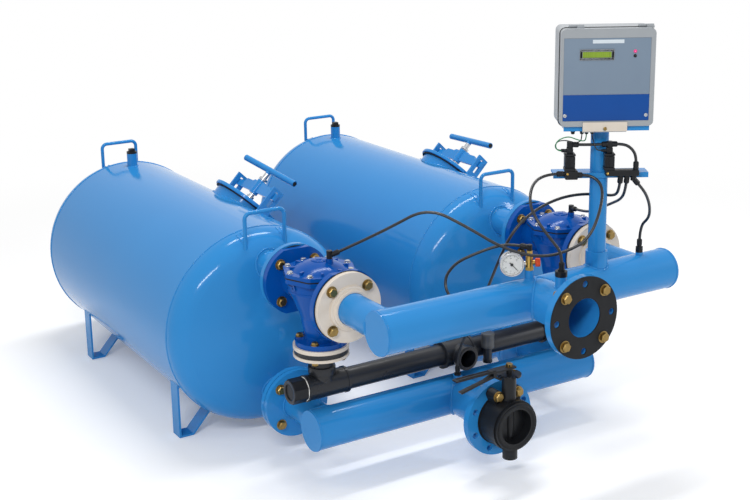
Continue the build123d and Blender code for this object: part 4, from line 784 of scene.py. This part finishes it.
# %% Tee-bar plugs
BAR_TURN = {1: 17.0, 2: -3.0}
BAR_REACH, BAR_HALF, SCREW_COLLAR_REACH = 455, 130, 412
SCREW_COLLAR_STEPS = [(9.4, 0), (14.5, 0), (15.2, 1), (15.2, 7), (14.0, 8.5), (9.4, 8.5)]
BAR_PLUG_STEPS = [(8.2, -1.5), (8.2, 0.5), (7.6, 1.1), (4.0, 1.3), (0.4, 1.3)]
for number, tank_x in TANK_X.items():
    axis_point = spot(tank_x, CLOSURE_Y, TANK_Z) + CLOSURE_UP * BAR_REACH * MM
    bar = Matrix.Rotation(radians(BAR_TURN[number]), 4, CLOSURE_UP) @ Y
    bar_plugs = []
    for way in (-1, 1):
        bar_plug = turned("bar_plug", BAR_PLUG_STEPS, 36)
        bar_plugs.append(moved(bar_plug, facing(axis_point + bar * way * BAR_HALF * MM, bar * way)))
    fit(joined(f"tank_{number}_bar_plugs", bar_plugs), "rubber", body=f"screw_{number}")
    collar = turned("collar", SCREW_COLLAR_STEPS, 40, ring=True)
    moved(collar, facing(spot(tank_x, CLOSURE_Y, TANK_Z) + CLOSURE_UP * SCREW_COLLAR_REACH * MM, CLOSURE_UP))
    fit(collar, "steel", body=f"screw_{number}").name = f"tank_{number}_screw_collar"

# %% [markdown]
# The pressure gauge is a liquid-filled one with a crimped stainless bezel, lying on its side, so
# its scale opens toward the cock. The dial gets printed strokes and plain numbers in bar, and
# a clear window that bulges slightly.

# %% Gauge
GAUGE_ALONG, GAUGE_Z = -47.0, 639.0
STROKE_END, FIGURE_RING, FIGURE_SIZE = 25.8, 17.4, 5.6
SCALE_START, SCALE_SWEEP = radians(-45.0), radians(-270.0)
BAR_STEPS, FINE_STEPS = 10, 50
dial_place = facing(at_gauge(GAUGE_ALONG, 8.0, GAUGE_Z), OUT, ALONG)
fit(moved(turned("gauge_dial", [(28.2, 0), (28.2, 0.5), (27.9, 0.7)], 96), dial_place), "white")
strokes = []
for step in range(FINE_STEPS + 1):
    major = step % (FINE_STEPS // BAR_STEPS) == 0
    size = (4.6, 0.75, 0.3) if major else (2.3, 0.4, 0.3)
    stroke = slab("stroke", size, 0.08, 1)
    turn = Matrix.Rotation(SCALE_START + SCALE_SWEEP * step / FINE_STEPS, 4, "Z")
    out_to = Matrix.Translation(((STROKE_END - size[0] / 2) * MM, 0, 0.6 * MM))
    strokes.append(moved(stroke, dial_place @ turn @ out_to))
for number in range(0, BAR_STEPS + 1, 2):
    bpy.ops.object.select_all(action="DESELECT")
    bpy.ops.object.text_add()
    figure = bpy.context.active_object
    figure.data.body = str(number)
    figure.data.size = FIGURE_SIZE * MM
    figure.data.extrude = 0.12 * MM
    figure.data.align_x, figure.data.align_y = "CENTER", "CENTER"
    bpy.ops.object.convert(target="MESH")
    figure = bpy.context.active_object
    figure.name = "figure"
    turn = SCALE_START + SCALE_SWEEP * number / BAR_STEPS
    reach = Matrix.Translation((FIGURE_RING * cos(turn) * MM, FIGURE_RING * sin(turn) * MM, 0.75 * MM))
    strokes.append(moved(figure, dial_place @ reach @ Matrix.Rotation(radians(90), 4, "Z")))
fit(joined("gauge_scale", strokes), "ink")
bezel_steps = [(28.4, 5.6), (31.6, 5.0), (32.6, 3.5), (32.6, -3.0), (31.8, -4.0), (31.5, -4.0), (31.5, 0.0),
               (28.4, 0.4)]
fit(moved(turned("gauge_bezel", bezel_steps, 96, ring=True), dial_place), "steel")
window_steps = [(28.3, 3.6), (28.3, 4.6), (24.0, 5.3), (14.0, 5.9), (0.5, 6.1)]
window = fit(moved(turned("gauge_window", window_steps, 72), dial_place), "glass")
boss = turned("needle_boss", [(3.4, 2.6), (3.4, 3.3), (2.4, 3.9), (0.6, 4.1)], 32)
fit(moved(boss, dial_place), "ink", body="needle")
print("gauge strokes:", FINE_STEPS + 1)

# %% [markdown]
# The controller's cover is a grey polycarbonate lid hinged at the top. Its printed panel is grey
# above and blue below, with a green liquid-crystal screen, two lamps and a pale strip, and all
# names are left off. A black rubber seal runs all round and stands proud of the box, so its black
# is also painted shade along the box's sides. A plate holds the lid shut.

# %% Controller cover
COVER_OUT = 58.8


def on_cover(along, z, out=COVER_OUT):
    """A place on the cover, facing out of it."""
    return facing(on_post(along, out, z), OUT, ALONG)


def cover_slab(name, low, high, thickness, finish, out=COVER_OUT, corner=0.5):
    """A block over a rectangle of the cover, from low to high along and up."""
    piece = slab(name, (high[0] - low[0], high[1] - low[1], thickness), corner, 3)
    middle = on_cover((low[0] + high[0]) / 2, (low[1] + high[1]) / 2, out)
    return fit(moved(piece, middle), finish, body="cover")


cover_slab("cover_upper_panel", (-109.6, 1076.4), (114.6, 1222.6), 0.9, "panel")
cover_slab("cover_lower_panel", (-109.6, 1006.6), (114.6, 1075.6), 0.9, "blue_panel")
cover_slab("cover_pale_strip", (-36, 1209), (45, 1218.6), 1.3, "light_strip")
cover_slab("screen_glass", (-62, 1172), (13, 1188), 1.6, "screen")
frame_bars = []
for low, high in (((-69, 1188), (20, 1194)), ((-69, 1166), (20, 1172)), ((-69, 1171), (-62, 1189)),
                  ((13, 1171), (20, 1189))):
    bar = slab("bar", (high[0] - low[0], high[1] - low[1], 3.2), 0.7, 2)
    frame_bars.append(moved(bar, on_cover((low[0] + high[0]) / 2, (low[1] + high[1]) / 2)))
fit(joined("screen_frame", frame_bars), "nylon", body="cover")
LENS_STEPS = [(4.4, 0), (4.4, 1.2), (3.4, 1.6), (3.2, 1.8), (3.0, 3.4), (2.3, 4.6), (1.2, 5.3), (0.3, 5.5)]
for label, z, finish in (("upper", 1188, "pink"), ("lower", 1176, "nylon")):
    fit(moved(turned(f"cover_{label}_lamp", LENS_STEPS, 32), on_cover(74, z, 59.4)), finish, body="cover")
SCREW_STEPS = [(5.2, 0), (5.2, 0.8), (4.4, 2.0), (2.6, 2.7), (1.6, 2.8), (1.5, 1.7), (0.4, 1.6)]
for label, along in (("left", -104), ("right", 107)):
    screw = turned(f"cover_{label}_screw", SCREW_STEPS, 36)
    fit(moved(screw, on_cover(along, 1020.8, 59.5)), "steel", body="cover")
cover_slab("cover_latch_plate", (-57, 979), (59, 1003.6), 1.6, "ring", out=62.6, corner=0.6)
fit(moved(turned("cover_latch_screw", SCREW_STEPS, 36), on_cover(1, 986, 64.0)), "zinc", body="cover")


def rounded_frame(name, half_along, low, high, corner, out, radius, finish, body):
    """A round cord laid along a rounded rectangle, such as a seal."""
    points = []
    middle = 5.0
    for centre_along, centre_z, start in (
            (half_along - corner, high - corner, 0), (corner - half_along, high - corner, 90),
            (corner - half_along, low + corner, 180), (half_along - corner, low + corner, 270)):
        for step in range(9):
            turn = radians(start + 90 * step / 8)
            along = middle + centre_along + corner * cos(turn)
            points.append(on_post(along, out, centre_z + corner * sin(turn)))
    return fit(round_bar(name, points, radius, 3), finish, body=body, angle=60)


# The seal is a real rubber cord, and where it stands proud its black is also painted shade along the box's
# sides.
rounded_frame("box_seal_and_side_shade", 121.6, 990.6, 1246.6, 14, 34.0, 2.4, "rubber", "frame")
rounded_frame("cover_rim", 120.6, 993.2, 1245.6, 13, 59.0, 1.4, "box", "cover")
for index, along in enumerate((-78, -54, -42, -27)):
    gland = turned("gland", [(5.2, 0), (5.2, 4), (6.4, 4.4), (6.4, 10), (5.6, 11), (4.8, 16), (3.4, 17)], 12)
    moved(gland, facing(on_post(along, 34, 984), -UP))
    fit(gland, "nylon").name = f"box_gland_{index + 1}"

# %% [markdown]
# Each pilot valve is a black nylon body on a drilled base, with a ribbed coil pushed over its
# stem and a plug head on top that takes the wires. The real ones are moulded with generous
# corners, so blocks with wide bevels stand for them, with the grooves where coil and base meet.

# %% Pilot valves
PILOT_VALVES = ((1, (-98, -65), (-101, -72), 848), (2, (9, 97), (4, 32), 856))
for number, (base_low, base_high), (low, high), foot in PILOT_VALVES:
    middle, width = (low + high) / 2, high - low

    def level_at(z, along=middle, out=44):
        return facing(on_post(along, out, z), UP, ALONG)

    parts = [
        moved(slab("base", (base_high - base_low, 28, 872 - foot), 2.4, 3),
              level_at(foot, (base_low + base_high) / 2, 43)),
        moved(slab("coil_foot", (width, 30, 8), 1.6, 3), level_at(872)),
        moved(slab("coil", (width - 1.8, 28.2, 32), 3.4, 4), level_at(879.5)),
        moved(slab("coil_head", (width - 0.4, 30, 6), 1.8, 3), level_at(911.8)),
        moved(slab("plug_head", (16, 20, 15.4), 2.4, 4), level_at(917.4)),
        moved(slab("plug_grip", (10, 23, 9), 1.6, 3), level_at(920.6)),
        moved(slab("coil_label", (11, 1.2, 26), 0.5, 2), level_at(882.5, middle + 6, 58.3)),
    ]
    for step in range(4):
        rib = slab("coil_rib", (1.8, 2.6, 29), 0.8, 2)
        parts.append(moved(rib, level_at(881, middle - 11 + 3.6 * step, 58.2)))
    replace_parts(fit(joined(f"solenoid_{number}_coil", parts), "nylon"), f"solenoid_{number}")
    collar = turned(f"solenoid_{number}_collar", [(6.4, 0), (8.6, 0.4), (8.6, 2.2), (6.4, 2.8)], 32)
    fit(moved(collar, level_at(932)), "nylon")
    screw = turned(f"solenoid_{number}_screw", [(3.2, 0), (3.2, 1.4), (2.4, 2.1), (0.8, 2.2)], 24)
    screw_along = base_low + 5 if number == 1 else base_low + 4
    fit(moved(screw, facing(on_post(screw_along, 57.0, 864), OUT, ALONG)), "brass")

# %% [markdown]
# The tubes end in push-in elbows and stems with a ribbed collar, so that a wet hand can turn
# them. The collar is turned with twenty-four sides, and every other edge is sunk to make ribs.

# %% Tube collars and wire glands
COLLAR_STEPS = [(4.2, -10), (5.2, -10), (6.2, -9.2), (7.2, -8), (7.6, -6.5), (7.6, 2.6), (7.0, 3.6),
                (7.0, 4.6), (7.5, 5.2), (7.5, 6.8), (4.2, 6.8)]
GLAND_STEPS = [(1.7, -5), (2.4, -5), (3.0, -4), (3.8, -3), (3.8, 3), (3.4, 4), (1.7, 4)]


def ribbed(piece, radius, depth, sides=24):
    """Sink every other edge of a turned piece where it is at least that wide."""
    for vertex in piece.data.vertices:
        reach = hypot(vertex.co.x, vertex.co.y)
        edge = round(atan2(vertex.co.y, vertex.co.x) / (2 * pi) * sides)
        if reach > (radius - 0.15) * MM and edge % 2:
            factor = 1 - depth * MM / reach
            vertex.co.x *= factor
            vertex.co.y *= factor
    return piece


tube_collar = ribbed(turned("tube_collar", COLLAR_STEPS, 24, ring=True), 7.6, 0.7)
wire_gland = ribbed(turned("wire_gland", GLAND_STEPS, 24, ring=True), 3.8, 0.4)
collars = []
for name, route in CORD_ROUTES.items():
    pattern = tube_collar if name.startswith("tube") else wire_gland
    for end, neighbour in ((route[0], route[1]), (route[-1], route[-2])):
        collars.append(moved(twin(pattern, "collar"), facing(end, end - neighbour)))
for pattern in (tube_collar, wire_gland):
    bpy.data.objects.remove(pattern)
print("collars:", len(collars))
fit(joined("tube_collars", collars), "nylon", angle=25)

# %% [markdown]
# The backwash pipe is solvent-welded PVC. Its fittings have raised rims at their sockets, and a
# white seal ring shows at each end plug. The union's nut has grips around it.

# %% Backwash pipe
DRAIN_Z = 270.0
DRAIN_OUTLET_X = 28


def rim_ring(steps, place, sides=64):
    """A raised ring of the pipework at its place."""
    return moved(turned("rim", steps, sides, ring=True), place)


rims = []
for side in (-1, 1):
    for x, width in ((side * 345, 9), (side * 470, 7)):
        rims.append(rim_ring([(35.6, 0), (37.6, 0.8), (37.6, width - 0.8), (35.6, width)],
                             facing(spot(x, VALVE_Y, DRAIN_Z), X * side)))
    rims.append(rim_ring([(32.6, 0), (38.0, 0.8), (38.4, 2), (38.4, 20), (37.6, 22), (33.2, 24)],
                         facing(spot(side * 420, VALVE_Y, 306), UP)))
    rims.append(rim_ring([(23.0, 0), (33.4, 0), (33.4, 2.6), (32.4, 3.8), (25.0, 3.8), (23.0, 2.6)],
                         facing(spot(side * 520, VALVE_Y, DRAIN_Z), X * side)))
    seal = turned(f"backwash_seal_{1 if side < 0 else 2}", [
        (27.6, -1.4), (33.4, -1.4), (34.4, -0.8), (34.4, 0.8), (33.4, 1.4), (27.6, 1.4)], 64, ring=True)
    fit(moved(seal, facing(spot(side * 478.5, VALVE_Y, DRAIN_Z), X)), "white")
for side in (-1, 1):
    rims.append(rim_ring([(38.6, -5), (41.4, -4), (41.4, 4), (38.6, 5)],
                         facing(spot(DRAIN_OUTLET_X + side * 47, VALVE_Y, DRAIN_Z), X)))
rims.append(rim_ring([(31.6, 0), (34.2, 0.6), (34.8, 2), (34.8, 7), (34.2, 8.4), (31.6, 9)],
                     facing(spot(DRAIN_OUTLET_X, -432, DRAIN_Z), Y)))
nut = turned("nut", [(34.6, 0), (36.2, 0.6), (37.0, 2), (37.0, 14), (36.2, 15.4), (34.6, 16)], 40, ring=True)
rims.append(moved(ribbed(nut, 37.0, 1.2, 40), facing(spot(DRAIN_OUTLET_X, -451, DRAIN_Z), Y)))
rims.append(rim_ring([(26.2, -1), (31.4, -1), (32.2, 0), (32.2, 3), (26.2, 3)],
                     facing(spot(DRAIN_OUTLET_X, -452, DRAIN_Z), Y)))
fit(joined("backwash_rims", rims), "pvc")
NIPPLE_PLACE = (115, -429)
bush = turned("backwash_bush", [
    (15.0, 281), (19.3, 281.4), (19.8, 283), (19.8, 290), (19.3, 291.6), (19.3, 316), (19.8, 317.4),
    (19.8, 323), (19.0, 324.8), (12.0, 325.6), (4.0, 325.8)], 48)
fit(moved(bush, facing(spot(*NIPPLE_PLACE, 0), UP)), "iron")
cap = turned("backwash_cap", [(4.0, 232.6), (11.0, 232.6), (14.4, 233.6), (14.4, 243), (13.2, 244.4)], 8)
fit(moved(cap, facing(spot(*NIPPLE_PLACE, 0), UP)), "nylon")

# %% [markdown]
# The outlet's butterfly valve has a rubber seat rolled over its bore and a disc with a hub
# across it. The lever is ribbed, and the pads that stand proud on a casting keep the
# bolts square.

# %% Butterfly valve
LEVER_Y = -674.5
LEVER_TOP = 326
seat = turned("butterfly_seat", [(50.5, -3), (51.2, -1.4), (58.6, 2.6), (60.0, 3.2), (62.6, 3.2), (64.4, 1.2),
                                 (64.4, -3)], 96, ring=True)
fit(moved(seat, facing(spot(OUTLET_X, -712, LOWER_Z), FRONT)), "rubber")
face = turned("disc_face", [(47.5, 0), (47.0, 1.0), (40.0, 2.4), (24.0, 3.2), (1.0, 3.4)], 72)
moved(face, facing(spot(OUTLET_X, LEVER_Y - 6, LOWER_Z), FRONT))
hub = turned("disc_hub", [
    (9.0, -40), (11.6, -37), (12.2, -20), (13.4, 0), (12.2, 20), (11.6, 37), (9.0, 40)], 40)
moved(hub, facing(spot(OUTLET_X, LEVER_Y - 3.5, LOWER_Z), UP))
fit(joined("disc_front", [face, hub]), "nylon", body="butterfly")
ridges = [moved(slab("ridge", (104, 4.2, 1.6), 0.7, 2), facing(spot(-116, LEVER_Y + shift, LEVER_TOP), UP))
          for shift in (-6.5, 6.5)]
ridges.append(moved(slab("ridge", (20, 17.4, 1.6), 0.7, 2), facing(spot(-54, LEVER_Y, LEVER_TOP), UP)))
fit(joined("lever_ridges", ridges), "nylon", body="butterfly")
stem_nut = turned("stem_nut", [(11.5, 0), (11.5, 1.4), (9.4, 1.6), (9.4, 8), (8.2, 9.4)], 6)
fit(moved(stem_nut, facing(spot(OUTLET_X, LEVER_Y, LEVER_TOP), UP)), "zinc", body="butterfly")
plate_screws = [moved(turned("screw", [(4.0, 0), (4.0, 2.2), (3.2, 3.0), (1.0, 3.1)], 6),
                      facing(spot(OUTLET_X + 26 * cos(turn), LEVER_Y + 26 * sin(turn), 305), UP))
                for turn in (radians(20), radians(110))]
fit(joined("notch_plate_screws", plate_screws), "zinc")

# %% [markdown]
# A valve casting carries a few marks of how it was made: a raised arrow for the direction of
# flow and a parting line round the barrel. The beige ring has a stepped hub round the pipe.

# %% Valve castings
BARREL_SKIN, ARROW_Z, SEAM_Z, CROWN_Z = 87.6, 570, 557, 631
for number, tank_x in TANK_X.items():
    marks = []
    for side in (-1, 1):
        place = facing(spot(tank_x + side * BARREL_SKIN, VALVE_Y, ARROW_Z), X * side, FRONT * side)
        marks.append(moved(slab("shaft", (34, 7, 2.2), 0.9, 2), place))
        tip = turned("tip", [(11, 0), (11, 1.4), (10, 2.2)], 3)
        marks.append(moved(tip, place @ Matrix.Translation((18 * side * MM, 0, 0)) @ Matrix.Rotation(
            0 if side > 0 else pi, 4, "Z")))
    seam = turned("seam", [(BARREL_SKIN, -1.2), (89.0, -0.5), (89.0, 0.5), (BARREL_SKIN, 1.2)], 96, ring=True)
    marks.append(moved(seam, facing(spot(tank_x, VALVE_Y, SEAM_Z), UP)))
    fit(joined(f"valve_{number}_cast_marks", marks), "valve_paint")
    crown = turned(f"valve_{number}_bonnet_crown", [
        (22, -1), (22, 1.4), (20.4, 2.4), (9, 2.8), (8, 4.2), (2, 4.8)], 48)
    fit(moved(crown, facing(spot(tank_x, VALVE_Y, CROWN_Z), UP)), "valve_paint")
    hub = turned(f"ring_{number}_hub", [
        (45.2, 0), (60.0, 0), (60.0, 2.0), (58.4, 3.0), (54.6, 3.6), (53.4, 8.0), (50.6, 9.0), (49.8, 12.4),
        (45.2, 13.0)], 96, ring=True)
    fit(moved(hub, facing(spot(tank_x, -548.6, UPPER_Z), FRONT)), "ring")
print("valve castings marked")

# %% [markdown]
# The product stood in a white studio. The floor takes the shadows near the object and turns to
# plain white farther out, where only the camera, reflections and glass see that white. Three strip
# lamps give the long bright streaks along the tanks and pipes.

# %% Floor and light
AMBIENT = 0.5
FLOOR_NEAR = 1.5
FLOOR_FAR = 3.6
FLOOR_LIFT = 0.16


def seen_directly(tree):
    """1 where the camera, a reflection or glass looks at the surface, 0 for the light it gives."""
    path = add_node(tree, "LightPath")
    eye = add_node(tree, "Math", {0: path.outputs["Is Camera Ray"], 1: path.outputs["Is Transmission Ray"]},
                   operation="MAXIMUM")
    both = add_node(tree, "Math", {0: eye.outputs[0], 1: path.outputs["Is Glossy Ray"]}, operation="MAXIMUM")
    return both.outputs[0]


bpy.ops.object.select_all(action="DESELECT")
bpy.ops.mesh.primitive_plane_add(size=60.0, location=(0, 0, -0.001))
floor = bpy.context.active_object
floor.name = "studio_floor"
floor_material, tree, shader, place = start_material("matt_white_floor")
specks = add_node(tree, "TexNoise", {"Vector": place, "Scale": 3.0, "Detail": 2.0})
tree.links.new(mixed(tree, specks.outputs["Fac"], "F6F6F6", "FAFAFA"), shader.inputs["Base Color"])
shader.inputs["Roughness"].default_value = 0.9
shader.inputs["Specular IOR Level"].default_value = 0.1
distance = add_node(tree, "VectorMath", {0: place}, operation="LENGTH")
far = add_node(tree, "MapRange", {
    "Value": distance.outputs["Value"], "From Min": FLOOR_NEAR, "From Max": FLOOR_FAR,
}, interpolation_type="SMOOTHSTEP")
glow = add_node(tree, "Emission", {"Color": linear("FFFFFF"), "Strength": FLOOR_LIFT})
lifted = add_node(tree, "AddShader", {0: shader.outputs[0], 1: glow.outputs[0]})
white = add_node(tree, "Emission", {"Color": linear("FFFFFF"), "Strength": 1.0})
faded = add_node(tree, "MixShader", {0: far.outputs["Result"], 1: lifted.outputs[0], 2: white.outputs[0]})
choice = add_node(tree, "MixShader", {0: seen_directly(tree), 1: shader.outputs[0], 2: faded.outputs[0]})
tree.links.new(choice.outputs[0], tree.nodes["Material Output"].inputs["Surface"])
floor.data.materials.append(floor_material)

world = bpy.data.worlds.new("studio")
world.use_nodes = True
bpy.context.scene.world = world
tree = world.node_tree
tree.nodes.clear()
soft = add_node(tree, "Background", {"Color": linear("FFFFFF"), "Strength": AMBIENT})
white = add_node(tree, "Background", {"Color": linear("FFFFFF"), "Strength": 1.0})
choice = add_node(tree, "MixShader", {0: seen_directly(tree), 1: soft.outputs[0], 2: white.outputs[0]})
add_node(tree, "OutputWorld", {"Surface": choice.outputs[0]})


def softbox(name, place, aim, size, power):
    """A large rectangular lamp that points at a spot."""
    data = bpy.data.lights.new(name, "AREA")
    data.shape = "RECTANGLE"
    data.size, data.size_y = size
    data.energy = power
    lamp = bpy.data.objects.new(name, data)
    bpy.context.scene.collection.objects.link(lamp)
    lamp.matrix_world = facing(Vector(place), Vector(place) - Vector(aim))
    return lamp


softbox("key_softbox", (-3.2, -3.4, 3.6), (0, -0.2, 0.4), (2.4, 0.28), 104)
softbox("top_softbox", (0.4, 0.6, 4.2), (0, 0.2, 0.4), (2.6, 0.4), 76)
softbox("fill_softbox", (3.6, -3.0, 2.2), (0, -0.4, 0.5), (0.28, 1.8), 44)
scene = bpy.context.scene
scene.view_settings.view_transform = "Standard"
